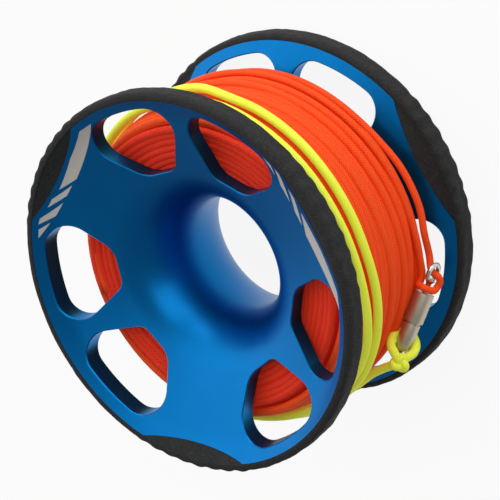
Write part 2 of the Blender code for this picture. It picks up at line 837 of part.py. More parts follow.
def make_keeper(parts, material):
    """The keeper cord's turns, the loop at its end and the knot that closes the loop."""
    frame = snap_frame()
    back = math.radians(SNAP_BACK_DEG)
    front = Vector((-math.cos(back), -math.sin(back), 0))
    left = Vector((0, 0, 1)).cross(front)
    along = Vector((0, 0, 1))
    knot_place = frame @ (KNOT_FRONT * front + KNOT_LEFT * left + (CROWN_S + KNOT_PAST_CROWN) * along)
    mesh = bpy.data.meshes.new("keeper_knot")
    shape = bmesh.new()
    bmesh.ops.create_uvsphere(shape, u_segments=12, v_segments=8, radius=KNOT_R)
    shape.to_mesh(mesh)
    shape.free()
    knot = new_object("keeper_knot", mesh, material, parts)
    knot.location = knot_place
    shade_round(knot, 60.0)

    reach = KNOT_R + SEAT_GAP
    loop = []
    first = 90.0 + LOOP_OPEN_DEG
    sweep = 360.0 - 2 * LOOP_OPEN_DEG
    for k in range(LOOP_SPANS + 1):
        angle = math.radians(first + sweep * k / LOOP_SPANS)
        ring = LOOP_R * (math.cos(angle) * left + math.sin(angle) * front)
        loop.append(frame @ (ring + (SHOULDER_S + LOOP_PAST_SHOULDER + LOOP_LEAN * math.sin(angle)) * along))
    ends = [knot_place + reach * (p - knot_place).normalized() for p in (loop[0], loop[-1])]
    loop = [ends[0]] + loop + [ends[1]]
    tube("keeper_loop", loop, KEEPER_R, material, parts, 2)

    turns = cord_over(KEEPER_ROUTE, KEEPER_R, KEEPER_STEP)
    start = knot_place + reach * (turns[0] - knot_place).normalized()
    route = smooth_route([start] + turns, KEEPER_STEP)
    print("keeper_cord: least gap to itself, mm:", round(1000 * least_self_gap(route, KEEPER_R, WOUND_R), 3))
    print("keeper_cord: length with its loop, m:", round(route_length(route) + route_length(loop), 4))
    tube("keeper_cord", route, KEEPER_R, material, parts, 2)


def make_snap_eye(parts, cutters, material):
    """The swivel eye: a ring, its shank and the head that the sleeve's cap turns on."""
    bpy.ops.mesh.primitive_torus_add(
        major_segments=SNAP_STEPS,
        minor_segments=EYE_SIDES,
        major_radius=EYE_MAJOR_R,
        minor_radius=EYE_WIRE_R,
    )
    torus = bpy.context.object
    mesh = torus.data
    bpy.data.objects.remove(torus, do_unlink=True)
    mesh.name = "snap_eye"
    mesh.transform(Matrix.Rotation(math.pi / 2, 4, "Y"))
    eye = new_object("snap_eye", mesh, material, parts)
    eye.matrix_world = snap_frame()
    head_s = CAP_TOP_S + CAP_T + SEAT_GAP
    profile = [
        (0, head_s + EYE_HEAD_T),
        (EYE_HEAD_R, head_s + EYE_HEAD_T),
        (EYE_HEAD_R, head_s),
        (SHANK_R, head_s),
        (SHANK_R, EYE_MAJOR_R),
        (0, EYE_MAJOR_R),
    ]
    shank = make_cutter(turned("eye_shank", profile, None, cutters, SHANK_STEPS))
    shank.matrix_world = snap_frame()
    join(eye, shank)
    shade_round(eye, 40.0)


def make_snap_body(parts, cutters, material):
    """The sleeve over the bolt, with the hook arm that grows out of its side."""
    hole = SHANK_R + SEAT_GAP
    profile = [
        (SLEEVE_R, MOUTH_S),
        (SLEEVE_R, CAP_TOP_S + SLEEVE_EDGE),
        (SLEEVE_R - SLEEVE_EDGE, CAP_TOP_S),
        (hole, CAP_TOP_S),
        (hole, CAP_TOP_S + CAP_T),
        (BORE_R, CAP_TOP_S + CAP_T),
        (BORE_R, MOUTH_S),
    ]
    sleeve = turned("snap_body", profile, material, parts, SNAP_STEPS)
    sleeve.matrix_world = snap_frame()
    back = math.radians(SNAP_BACK_DEG)
    foot = SLEEVE_R + ARM_R - ARM_SINK
    foot_s = CAP_TOP_S + ARM_FOOT
    points = []
    for out_share, along_share in ARM_ROUTE_SHARES:
        out = foot + out_share * (ARM_REACH - foot)
        points.append((out * math.cos(back), out * math.sin(back), foot_s + along_share * (CROWN_S - foot_s)))
    arm = tube("hook_arm", smooth_route(points, ARM_STEP), ARM_R, None, cutters, 2)
    bpy.context.view_layer.update()
    arm = make_cutter(curve_to_mesh(arm, cutters))
    arm.matrix_world = snap_frame()
    join(sleeve, arm)


def make_snap_bolt(parts, material):
    profile = [
        (0, NOSE_END_S),
        (NOSE_R - BOLT_EDGE, NOSE_END_S),
        (NOSE_R, NOSE_END_S - BOLT_EDGE),
        (NOSE_R, SHOULDER_S),
        (BOLT_R, SHOULDER_S - BOLT_EDGE),
        (BOLT_R, BOLT_TOP_S),
        (0, BOLT_TOP_S),
    ]
    bolt = turned("snap_bolt", profile, material, parts, SNAP_STEPS)
    bolt.matrix_world = snap_frame()


def make_snap_spring(parts, material):
    """The coil spring between the sleeve's cap and the bolt, its ends turned square to both."""
    low = CAP_TOP_S + CAP_T + SEAT_GAP
    high = BOLT_TOP_S - SEAT_GAP
    stub = 2 * SPRING_WIRE_R
    count = SPRING_COILS * COIL_POINTS
    route = []
    for k in range(count + 1):
        angle = FULL_TURN * k / COIL_POINTS
        s = low + stub + (high - low - 2 * stub) * k / count
        route.append(Vector((SPRING_COIL_R * math.cos(angle), SPRING_COIL_R * math.sin(angle), s)))
    first, last = route[0].copy(), route[-1].copy()
    first.z, last.z = low, high
    route = [first] + route + [last]
    gap = least_self_gap(route, SPRING_WIRE_R, SPRING_COIL_R)
    print("snap_spring: least gap to itself, mm:", round(1000 * gap, 3))
    spring = tube("snap_spring", route, SPRING_WIRE_R, material, parts, 1)
    spring.matrix_world = snap_frame()


def make_snap(parts, cutters, pale, bright):
    make_snap_eye(parts, cutters, bright)
    make_snap_body(parts, cutters, pale)
    make_snap_bolt(parts, pale)
    make_snap_spring(parts, bright)


def main():
    clear_scene()
    parts = new_collection("finger_spool")
    cutters = new_collection("cutters")
    blue = new_material("blue_metal", BLUE_METAL, 0.32, 1.0)
    rubber = new_material("black_rubber", BLACK_RUBBER, 0.85, 0.0)
    orange = new_material("orange_line", ORANGE_LINE, 0.7, 0.0)
    yellow = new_material("yellow_cord", YELLOW_CORD, 0.6, 0.0)
    pale = new_material("snap_steel", STEEL_PALE, 0.45, 1.0)
    bright = new_material("eye_steel", STEEL_BRIGHT, 0.15, 1.0)
    make_spool_body(parts, cutters, blue)
    make_grips(parts, cutters, rubber)
    route = make_line(parts, cutters, orange)
    make_line_tail(parts, orange, route)
    make_keeper(parts, yellow)
    make_snap(parts, cutters, pale, bright)


main()
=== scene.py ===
"""Finger spool: the finished surfaces of the spool, its line, keeper cord and snap, over their frame."""

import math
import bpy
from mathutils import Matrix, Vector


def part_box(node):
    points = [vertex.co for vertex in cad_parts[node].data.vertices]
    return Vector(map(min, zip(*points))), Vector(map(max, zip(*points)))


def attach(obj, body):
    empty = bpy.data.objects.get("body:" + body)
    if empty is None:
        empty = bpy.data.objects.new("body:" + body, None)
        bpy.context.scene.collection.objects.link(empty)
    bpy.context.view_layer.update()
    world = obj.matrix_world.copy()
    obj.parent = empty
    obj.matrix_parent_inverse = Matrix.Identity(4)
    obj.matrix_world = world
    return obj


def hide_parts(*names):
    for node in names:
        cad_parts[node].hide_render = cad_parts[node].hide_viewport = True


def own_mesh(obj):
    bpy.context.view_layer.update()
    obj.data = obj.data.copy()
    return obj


bl_info = {
    "name": "Finger Spool",
    "version": (1, 0, 0),
    "blender": (4, 5, 0),
    "location": "View3D > Sidebar > Finger Spool",
    "description": "Anodised two-flange spool with rubber rims, braided line, a keeper cord and a bolt snap",
    "category": "Add Mesh",
}

import bmesh
import bpy
from bpy.props import FloatProperty, FloatVectorProperty, IntProperty, PointerProperty
from mathutils import Matrix, Vector, noise

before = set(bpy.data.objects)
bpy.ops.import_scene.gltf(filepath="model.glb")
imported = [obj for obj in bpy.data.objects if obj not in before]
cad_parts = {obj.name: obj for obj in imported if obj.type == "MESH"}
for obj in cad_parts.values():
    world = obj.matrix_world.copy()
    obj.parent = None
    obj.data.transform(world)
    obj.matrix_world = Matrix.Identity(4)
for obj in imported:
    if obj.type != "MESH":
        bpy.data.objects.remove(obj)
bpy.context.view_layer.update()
BODY_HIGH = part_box("spool_body")[1]

FULL_TURN = 2 * math.pi
PLATE_R = BODY_HIGH[0]
HALF_WIDTH = BODY_HIGH[2] / 2

# Turned body
RIM_T = 0.00625
RIM_ROUND = 0.00015
LAND_WIDTH = 0.0012
BEVEL_WIDTH = 0.0028
BEVEL_DROP = 0.003
DISH_SWEEP_R = 0.043
EDGE_WIDTH = 0.00055
LIP_T = 0.0002
DISH_SLOPE = 0.351
DISH_T = 0.005
THROAT_R = 0.0155
THROAT_MEET_DEG = 137.8
MOUTH_R = 0.015
HUB_R = 0.018
DISH_R = PLATE_R - LAND_WIDTH - BEVEL_WIDTH
EDGE_R = PLATE_R - EDGE_WIDTH
FLARE_SPANS = 20
MOUTH_SPANS = 14
HUB_SPANS = 20
SPUN_MERGE = 0.000002

# Windows
WINDOW_PAIRS = 3
NARROW_SPOKE_DEG = 94.0
SPOKE_STEP_DEG = 60.0
SPOKE_GAUGE_R = 0.0375
NARROW_HALF = 0.0029
NARROW_TILT_DEG = -17.6
WIDE_HALF = 0.01235
WIDE_TILT_DEG = -4.5
WINDOW_INNER = 0.0282
WINDOW_INNER_TURN_DEG = -10.9
WINDOW_OUTER_R = 0.0469
WINDOW_OUTER_SPANS = 16
CORNER_RADII = (0.0061, 0.0066, 0.0073, 0.004)
CORNER_SPANS = 14
CUTTER_REACH = 0.0006

# Rubber grips; the foot of the ring runs in under the plate's edge
PAD_AZIMUTH_DEG = 33.4
PAD_COUNT = 3
PAD_HALF_DEG = 23.0
PAD_FADE_DEG = 3.0
PAD_SPARE = 0.0005
PAD_SWEEP_SPANS = 10
SCALLOP_R = 0.150
SCALLOP_DEPTH = 0.0042
SCALLOP_SPANS = 480
GRIP_ROUND = 0.0017
GRIP_ROUND_SPANS = 8
GRIP_FOOT = 0.0006
GRIP_FOOT_LIFT = 0.00002
GRIP_TALLEST_STEP = 0.0006
GRIP_LEVELS = 10
GRIP_CLEARANCE = 0.00004
GRIP_SHARP_DEG = 40.0
# Lumps of the moulded rubber: height and size, and how far the whole surface sinks for them
GRIP_LUMPS = ((0.00022, 0.0045), (0.00012, 0.0017))
GRIP_SINK = 0.00008

# Laser-marked bars beside two pads: corners by their run along the pad's edge and their distance in from it
MARKED_PADS = (0, 1)
MARK_CORNERS = (
    ((-0.02030, 0.00450), (-0.00100, 0.00415), (0.00465, 0.00140), (-0.00590, 0.00100), (-0.01630, 0.00190)),
    ((0.00145, 0.00380), (0.00520, 0.00375), (0.01120, 0.00120), (0.00830, 0.00100)),
    ((0.00780, 0.00375), (0.01240, 0.00390), (0.01690, 0.00175), (0.01510, 0.00120)),
    ((0.01497, 0.00372), (0.02030, 0.00383), (0.01817, 0.00252)),
)

# Wound surface
LINE_R = 0.001
WOUND_R = 0.04425
WOUND_EDGE_R = 0.040
WOUND_HALF = 0.017994
WOUND_FULLNESS = 2.6
WOUND_ROUNDNESS = 0.625
WOUND_START_DEG = 205.0
SEAT_GAP = 0.0003
TURN_POINTS = 72

# Outer turns: their unevenness along the surface and out of it, how deep the first end starts and over how
# many points it comes up, and how fast the unevenness changes round the winding and across it
OUTER_TURNS = 18
OUTER_SWAY = 0.0005
OUTER_SWELL = 0.00028
OUTER_START_DEPTH = 0.0024
OUTER_START_POINTS = 9
OUTER_NOISE_RATES = (1.3, 220)
OUTER_NOISE_SHIFT = (7.1, 3.3, 1.7)
SURFACE_STEPS = 600

# Turns on the winding's end faces
SIDE_TURNS = 8
SIDE_OUTER_R = 0.0389
SIDE_INNER_R = 0.0255
SIDE_HEIGHT = 0.0170
SIDE_DROP = 0.0024
SIDE_SWAY = 0.00055
SIDE_SWELL = 0.00045
SIDE_NOISE_RATES = (1.6, 330)
SIDE_NOISE_SHIFT = (2.2, 5.5, 9.1)

# Stray turns: first azimuth, sweep, height at both ends, lift
STRAY_TURNS = (
    (150.0, -250.0, -0.0020, -0.0095, 0.0011),
    (130.0, -210.0, -0.0065, -0.0125, 0.0010),
    (100.0, -160.0, 0.0030, -0.0030, 0.0007),
    (60.0, -200.0, -0.0110, -0.0070, 0.0009),
    (185.0, -150.0, -0.0140, -0.0120, 0.0009),
    (-120.0, -170.0, -0.0090, -0.0030, 0.0010),
    (-60.0, -190.0, -0.0125, -0.0100, 0.0010),
    (66.0, -96.0, -0.0122, -0.0153, 0.0019),
)
STRAY_STEP_DEG = 5.0
# A stray turn rises over one part in this many of its sweep, and sinks again over the last one
STRAY_RISE = 6

# Loose end of the line: azimuth, height as a share of the winding's half width, lift over the wound surface
TAIL_R = 0.00095
TAIL_STEP = 0.0045
TAIL_FINE_STEP = 0.0012
TAIL_OUT = (
    (190.0, -0.972, -0.0020), (178.0, -0.956, -0.0009), (165.0, -0.928, -0.0001), (150.0, -0.889, 0.0002),
    (135.0, -0.889, 0.0009), (122.0, -0.889, 0.0009), (110.0, -0.872, 0.0003), (96.0, -0.844, 0.0002),
    (82.0, -0.822, 0.0002), (68.0, -0.811, 0.0002), (56.0, -0.811, 0.0004), (46.0, -0.828, 0.0009),
    (36.0, -0.839, 0.0020), (28.0, -0.850, 0.0024), (20.0, -0.850, 0.0026), (13.0, -0.833, 0.0023),
)
TAIL_BACK = (
    (11.5, -0.694, 0.0006), (19.0, -0.683, 0.0002), (30.0, -0.650, 0.0002), (45.0, -0.611, 0.0002),
    (60.0, -0.578, 0.0002), (80.0, -0.544, 0.0002), (100.0, -0.517, 0.0002), (120.0, -0.494, 0.0002),
    (140.0, -0.478, 0.0002), (155.0, -0.467, 0.0002),
)
# The hitch on the eye, in the snap's own frame: outwards, across, along the snap
HITCH = (
    (-0.0022, 0.0002, -0.0028), (-0.0013, 0.0, -0.0011), (0.0, 0.0, 0.0), (0.0015, -0.0005, 0.00035),
    (0.00215, -0.00135, 0.0015), (0.0020, -0.0015, 0.0029), (0.00205, -0.00075, 0.0039),
    (0.0021, 0.00035, 0.0042), (0.0014, 0.0016, 0.00425), (0.0, 0.00215, 0.00425),
    (-0.00145, 0.0016, 0.0041), (-0.00215, 0.0005, 0.0036), (-0.00235, 0.0004, 0.0022),
    (-0.0027, 0.0012, 0.0004), (-0.0032, 0.0023, -0.0012),
)
# How far the loose end starts back along the last wound turn, and goes on along it
LEAD_BACK = 0.001
LEAD_ON = 0.002

# Keeper cord: azimuth, height as a share of the winding's half width, lift over the wound surface
KEEPER_R = 0.0012
KEEPER_STEP = 0.0082
KEEPER_FINE_STEP = 0.0015
KEEPER_BEND_DEG = 6.0
KEEPER_ROUTE = (
    (-36.0, -0.194, 0.0010), (-48.0, -0.183, 0.0004), (-66.0, -0.111, 0.0002), (-92.0, 0.000, 0.0001),
    (-122.0, 0.083, 0.0001), (-155.0, 0.167, 0.0001), (-190.0, 0.239, 0.0001), (-225.0, 0.300, 0.0001),
    (-257.0, 0.361, 0.0001), (-271.0, 0.528, 0.0001), (-283.0, 0.561, 0.0001), (-300.0, 0.594, 0.0001),
    (-327.0, 0.611, 0.0001), (-343.0, 0.578, 0.0001), (-357.0, 0.489, 0.0001), (-376.0, 0.356, 0.0001),
    (-394.0, 0.306, 0.0006), (-415.0, 0.344, 0.0004), (-440.0, 0.383, -0.0004), (-470.0, 0.422, -0.0006),
    (-505.0, 0.483, -0.0006), (-545.0, 0.556, 0.0001), (-590.0, 0.667, 0.0001), (-630.0, 0.767, 0.0001),
    (-669.0, 0.839, 0.0001), (-692.0, 0.828, 0.0001), (-710.0, 0.767, 0.0001), (-724.0, 0.667, 0.0001),
    (-738.0, 0.544, 0.0001), (-756.0, 0.533, 0.0002), (-780.0, 0.561, -0.0006), (-808.0, 0.556, -0.0010),
    (-830.0, 0.578, -0.0010),
)
LOOP_R = 0.0033
LOOP_MIDDLE_S = 0.0203
LOOP_LEAN = 0.0027
LOOP_OPEN_DEG = 40.0
LOOP_SPANS = 60
LOOP_FINE_STEP = 0.0006
KNOT_R = 0.0020
KNOT_S = 0.0247
KNOT_FRONT = 0.0029
KNOT_LEFT = -0.0008
KNOT_SIZE = 0.00058
KNOT_DEPTH = 1.2
KNOT_SPANS = 96
KNOT_CORD_R = 0.9 * KEEPER_R
CORD_END_R = 0.6 * KNOT_R

# Snap; names that end in _S are places along it from the middle of its eye
EYE_AZIMUTH_DEG = -0.6
EYE_STAND_R = 0.04795
EYE_HEIGHT = -0.015007
SNAP_CLIMB_DEG = 24.3
SNAP_TURN_IN_DEG = 9.6
SNAP_BACK_DEG = 239.4
EYE_MAJOR_R = 0.0023
EYE_WIRE_R = 0.00065
EYE_WIRE_SPANS = 24
SHANK_R = 0.00075
SHANK_ROUND = 0.0001
EYE_HEAD_R = 0.00135
EYE_HEAD_T = 0.0009
CAP_TOP_S = 0.0056
CAP_T = 0.00075
CAP_SEAT_S = CAP_TOP_S + CAP_T + SEAT_GAP
SLEEVE_R = 0.00265
SLEEVE_WALL = 0.0003
SLEEVE_BORE_R = SLEEVE_R - SLEEVE_WALL
SLEEVE_ROUND = 0.00012
MOUTH_S = 0.0137
ARM_R = 0.0009
ARM_FOOT_OUT = 0.0033
ARM_FOOT_S = 0.0070
ARM_REACH = 0.0061
ARM_FINE_STEP = 0.0004
CROWN_S = 0.0232
ARM_ROUTE_SHARES = (
    (0.0, 0.0), (0.0, 0.296), (0.107, 0.42), (0.5, 0.531), (0.893, 0.636),
    (1.0, 0.765), (0.75, 0.883), (0.179, 0.969), (-0.536, 1.0), (-1.286, 1.0),
)
BOLT_TOP_S = 0.0116
BOLT_GROOVE = 0.00025
BOLT_ROUND = 0.00015
NOSE_R = 0.0017
NOSE_END_S = 0.0219
NOSE_FACE_SHARE = 0.8
NOSE_TIP_LENGTH = 0.0009
NOSE_LENGTH = 0.0042
SPRING_WIRE_R = 0.0002
SPRING_COILS = 4
COIL_POINTS = 24

# Roundness of the tubes, as the bevel resolution of their curve
LINE_ROUNDNESS = 3
COIL_ROUNDNESS = 3
CORD_ROUNDNESS = 4
ARM_ROUNDNESS = 5
TUBE_MERGE = 0.000001

# Weaves: plaits round the cord, metres to each turn of the plaits, depth of the grooves, roughness
LINE_WEAVE = {"plaits": 8.0, "lay": 0.0062, "depth": 0.00009, "roughness": 0.62}
KEEPER_WEAVE = {"plaits": 12.0, "lay": 0.009, "depth": 0.00003, "roughness": 0.5}
# Painted shade: shares of red, green and blue that are left of a colour in the shade
INNER_LINE_SHADE_TINT = (0.95, 0.42, 1.0)
INNER_GROOVE_SHADE_TINT = (0.75, 0.5, 1.0)
KEEPER_GROOVE_SHADE_TINT = (0.85, 0.75, 0.5)

# Camera, as fitted to the photograph
CAMERA_PLACE = (0.30359, 0.24130, 0.45861)
CAMERA_RIGHT = (0.81767, -0.00407, -0.57567)
CAMERA_UP = (-0.23802, 0.90811, -0.34450)
CAMERA_BACK = (0.52417, 0.41871, 0.74157)
CAMERA_LENS_MM = 157.1
SENSOR_MM = 36.0
CLIP_START = 0.01
CLIP_END = 20.0

# Light; the lights' places are shifts to the camera's right, up and back from the spool's middle
FLOOR_GLOW = 0.9
SKY_BRIGHT_SIDE = (-0.75, 0.35, 0.56)
SKY_DARK = 0.30
SKY_BRIGHT = 1.5
SKY_EDGES = (0.40, 0.97)
KEY_SHIFT = (0.0, 0.60, 0.25)
KEY_SIZE = 0.6
FILL_SHIFT = (0.20, 0.30, 0.80)
FILL_SIZE = 0.7
WHITE = (1.0, 1.0, 1.0, 1.0)


class BodySettings(bpy.types.PropertyGroup):
    turn_steps: IntProperty(name="Turn Steps", description="Faces round the turned body", default=288, min=48)
    edge_chamfer: FloatProperty(
        name="Window Chamfer",
        description="Width of the bright chamfer round each window",
        default=0.00028,
        unit="LENGTH",
    )
    blue: FloatVectorProperty(
        name="Anodising",
        description="Colour of the anodised metal",
        default=(0.0, 0.165, 0.47),
        subtype="COLOR",
    )
    mark: FloatVectorProperty(
        name="Laser Marks",
        description="Colour of the marks that a laser leaves in the anodising",
        default=(0.56, 0.53, 0.48),
        subtype="COLOR",
    )


class GripSettings(bpy.types.PropertyGroup):
    steps: IntProperty(name="Steps", description="Faces round each grip", default=480, min=48)
    thickness: FloatProperty(
        name="Thickness",
        description="How far a grip stands over the plate's edge",
        default=0.0018,
        unit="LENGTH",
    )
    wave_depth: FloatProperty(
        name="Wave Depth",
        description="Height of the shallow waves on each pad's outer edge",
        default=0.00022,
        unit="LENGTH",
    )
    wave_length: FloatProperty(
        name="Wave Length",
        description="Distance from one wave to the next",
        default=0.0047,
        unit="LENGTH",
    )
    rubber: FloatVectorProperty(
        name="Rubber",
        description="Colour of the rubber",
        default=(0.0080, 0.0085, 0.0082),
        subtype="COLOR",
    )


class LineSettings(bpy.types.PropertyGroup):
    strand_radius: FloatProperty(
        name="Strand Radius",
        description="Half the width of the braided line",
        default=0.00118,
        unit="LENGTH",
    )
    orange: FloatVectorProperty(
        name="Line",
        description="Colour of the line",
        default=(1.0, 0.115, 0.008),
        subtype="COLOR",
    )
    # The grooves' colour is painted shade between the plaits
    red: FloatVectorProperty(
        name="Line Grooves",
        description="Colour of the line between its plaits",
        default=(0.72, 0.028, 0.006),
        subtype="COLOR",
    )
    yellow: FloatVectorProperty(
        name="Keeper Cord",
        description="Colour of the elastic keeper cord",
        default=(0.80, 0.93, 0.075),
        subtype="COLOR",
    )


class SnapSettings(bpy.types.PropertyGroup):
    steps: IntProperty(name="Steps", description="Faces round the snap", default=64, min=16)
    pale: FloatVectorProperty(
        name="Blasted Steel",
        description="Colour of the snap's blasted steel",
        default=(0.58, 0.51, 0.41),
        subtype="COLOR",
    )
    bright: FloatVectorProperty(
        name="Polished Steel",
        description="Colour of the polished eye",
        default=(0.66, 0.64, 0.60),
        subtype="COLOR",
    )


class StageSettings(bpy.types.PropertyGroup):
    floor_size: FloatProperty(name="Floor", description="Width of the floor", default=6.0, unit="LENGTH")
    key_power: FloatProperty(
        name="Key Light",
        description="Power of the large soft light",
        default=3.6,
        unit="POWER",
    )
    fill_power: FloatProperty(
        name="Fill Light",
        description="Power of the weaker light",
        default=2.4,
        unit="POWER",
    )


def new_object(name, data, material):
    obj = bpy.data.objects.new(name, data)
    data.materials.clear()
    data.materials.append(material)
    bpy.context.scene.collection.objects.link(obj)
    return obj


def finish(obj, body, slot, *nodes):
    """A piece rides on its body and stands for the solids that it replaces; its slot is not used."""
    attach(obj, body)
    if nodes:
        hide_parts(*nodes)
    return obj


def shade_round(mesh, sharp_deg=30.0):
    mesh.shade_smooth()
    mesh.set_sharp_from_angle(angle=math.radians(sharp_deg))


def mesh_from(shape, name):
    mesh = bpy.data.meshes.new(name)
    shape.to_mesh(mesh)
    shape.free()
    return mesh


def set_values(node, **values):
    """Plain values for a node's named inputs."""
    for label, value in values.items():
        node.inputs[label.replace("_", " ")].default_value = value


def new_group(name, inputs, outputs):
    """A shader node group of number sockets, inputs by name and default, with its input and output nodes."""
    group = bpy.data.node_groups.new(name, "ShaderNodeTree")
    for label, default in inputs.items():
        socket = group.interface.new_socket(name=label, in_out="INPUT", socket_type="NodeSocketFloat")
        socket.default_value = default
    for label in outputs:
        group.interface.new_socket(name=label, in_out="OUTPUT", socket_type="NodeSocketFloat")
    return group, group.nodes.new("NodeGroupInput"), group.nodes.new("NodeGroupOutput")


def calculator(tree):
    """A function that adds a Math node to a tree, from sockets and plain values, and gives its output."""

    def calc(operation, *values):
        node = tree.nodes.new("ShaderNodeMath")
        node.operation = operation
        for socket, value in zip(node.inputs, values):
            if isinstance(value, bpy.types.NodeSocket):
                tree.links.new(value, socket)
            else:
                socket.default_value = value
        return node.outputs[0]

    return calc


def mix_colour(tree, share, first, second):
    """A Mix node between two colours, which are linked sockets or plain colours."""
    node = tree.nodes.new("ShaderNodeMix")
    node.data_type = "RGBA"
    tree.links.new(share, node.inputs["Factor"])
    for socket, value in ((node.inputs[6], first), (node.inputs[7], second)):
        if isinstance(value, bpy.types.NodeSocket):
            tree.links.new(value, socket)
        else:
            socket.default_value = (*value, 1.0)
    return node.outputs[2]


def spread(tree, value, low, high):
    """A value of 0 to 1 mapped to the range from low to high."""
    node = tree.nodes.new("ShaderNodeMapRange")
    tree.links.new(value, node.inputs["Value"])
    set_values(node, To_Min=low, To_Max=high)
    return node.outputs["Result"]


def split(tree, vector):
    """The three parts of a vector."""
    node = tree.nodes.new("ShaderNodeSeparateXYZ")
    tree.links.new(vector, node.inputs[0])
    return node.outputs


def speckle_group():
    """Fine and coarse mottling that follows the object's own space."""
    group, start, end = new_group("Speckle", {"Fine Size": 0.0003, "Coarse Size": 0.004}, ("Fine", "Coarse"))
    calc = calculator(group)
    place = group.nodes.new("ShaderNodeTexCoord")
    for label, detail in (("Fine", 3.0), ("Coarse", 2.0)):
        texture = group.nodes.new("ShaderNodeTexNoise")
        set_values(texture, Detail=detail, Roughness=0.6)
        group.links.new(place.outputs["Object"], texture.inputs["Vector"])
        group.links.new(calc("DIVIDE", 1.0, start.outputs[label + " Size"]), texture.inputs["Scale"])
        group.links.new(texture.outputs["Fac"], end.inputs[label])
    return group


def braid_group():
    """Crossing plaits of a braided cord; its UV map runs along the cord in metres and once round it."""
    group, start, end = new_group("Braid", {"Plaits": 8.0, "Lay Length": 0.006}, ("Height", "Groove"))
    calc = calculator(group)
    place = split(group, group.nodes.new("ShaderNodeTexCoord").outputs["UV"])
    plaits = start.outputs["Plaits"]
    along = calc("MULTIPLY", calc("DIVIDE", place["X"], start.outputs["Lay Length"]), plaits)
    around = calc("MULTIPLY", place["Y"], plaits)
    waves = []
    for operation in ("ADD", "SUBTRACT"):
        turn = calc("MULTIPLY", calc(operation, around, along), math.pi)
        waves.append(calc("SINE", turn))
    height = calc("POWER", calc("ABSOLUTE", calc("MULTIPLY", *waves)), 0.6)
    group.links.new(height, end.inputs["Height"])
    group.links.new(calc("SUBTRACT", 1.0, height), end.inputs["Groove"])
    return group


def bars_group():
    """Slanted bars along the inner edges of two pads of the front flange, in the object's own space."""
    group, _, end = new_group("Slanted Bars", {}, ("Mask",))
    calc = calculator(group)
    place = group.nodes.new("ShaderNodeTexCoord")
    x, y, z = split(group, place.outputs["Object"])
    facing = split(group, place.outputs["Normal"])
    r = calc("SQRT", calc("MULTIPLY_ADD", x, x, calc("MULTIPLY", y, y)))
    half_step = math.pi / PAD_COUNT
    angle = calc("SUBTRACT", calc("ARCTAN2", y, x), math.radians(PAD_AZIMUTH_DEG))
    angle = calc("WRAP", angle, half_step, -half_step)
    outwards = calc("MULTIPLY", r, calc("COSINE", angle))
    across = calc("MULTIPLY", r, calc("SINE", angle))
    away = calc("SUBTRACT", PLATE_R - SCALLOP_DEPTH + SCALLOP_R, outwards)
    squares = calc("MULTIPLY_ADD", away, away, calc("MULTIPLY", across, across))
    inwards = calc("SUBTRACT", calc("SQRT", squares), SCALLOP_R)
    run = calc("MULTIPLY", calc("ARCTAN2", across, away), SCALLOP_R)
    bars = []
    for corners in MARK_CORNERS:
        sides = []
        for (u, v), (next_u, next_v) in zip(corners, corners[1:] + corners[:1]):
            side = calc("MULTIPLY", calc("SUBTRACT", run, u), v - next_v)
            sides.append(calc("MULTIPLY_ADD", calc("SUBTRACT", inwards, v), next_u - u, side))
        bars.append(calc("LESS_THAN", greatest(calc, sides), 0.0))
    front = calc("MULTIPLY", calc("GREATER_THAN", z, HALF_WIDTH), greatest(calc, bars))
    mask = calc("MULTIPLY", calc("GREATER_THAN", facing["Z"], 0.5), front)
    for pad in range(PAD_COUNT):
        if pad not in MARKED_PADS:
            bare = math.radians(PAD_AZIMUTH_DEG) + pad * FULL_TURN / PAD_COUNT
            reach = calc("MULTIPLY_ADD", y, math.sin(bare), calc("MULTIPLY", x, math.cos(bare)))
            mask = calc("MULTIPLY", calc("LESS_THAN", reach, HUB_R), mask)
    group.links.new(mask, end.inputs["Mask"])
    return group


def greatest(calc, values):
    """The greatest of several values."""
    result = values[0]
    for value in values[1:]:
        result = calc("MAXIMUM", result, value)
    return result


def use_group(tree, group, **values):
    node = tree.nodes.new("ShaderNodeGroup")
    node.node_tree = group
    set_values(node, **values)
    return node.outputs


def new_material(name, **values):
    """A material with its shader, whose named inputs take plain values."""
    material = bpy.data.materials.new(name)
    material.use_nodes = True
    shader = material.node_tree.nodes["Principled BSDF"]
    set_values(shader, **values)
    return material, material.node_tree, shader.inputs


def add_bump(tree, shader_inputs, height, strength, distance):
    bump = tree.nodes.new("ShaderNodeBump")
    set_values(bump, Strength=strength, Distance=distance)
    tree.links.new(height, bump.inputs["Height"])
    tree.links.new(bump.outputs["Normal"], shader_inputs["Normal"])


def tinted(colour, shares):
    """A colour with a share left of each of its three parts."""
    return tuple(share * part for share, part in zip(shares, colour))


def anodised_metal(name, colour, mark, speckle, bars):
    """Satin anodising, a little uneven in depth, with a laser's bare marks in it."""
    material, tree, inputs = new_material(
        name, Roughness=0.36, Metallic=1.0, Coat_Weight=0.08, Coat_Roughness=0.3
    )
    calc = calculator(tree)
    grain = use_group(tree, speckle, Fine_Size=0.00012, Coarse_Size=0.012)
    marked = use_group(tree, bars)["Mask"]
    blue = mix_colour(tree, grain["Coarse"], tinted(colour, (0.86, 0.86, 0.86)), colour)
    tree.links.new(mix_colour(tree, marked, blue, mark), inputs["Base Color"])
    satin = spread(tree, grain["Fine"], low=0.33, high=0.42)
    rougher_in_marks = 0.25
    tree.links.new(calc("MULTIPLY_ADD", marked, rougher_in_marks, satin), inputs["Roughness"])
    less_metal_in_marks = -0.7
    tree.links.new(calc("MULTIPLY_ADD", marked, less_metal_in_marks, 1.0), inputs["Metallic"])
    add_bump(tree, inputs, grain["Fine"], strength=0.10, distance=0.00002)
    return material


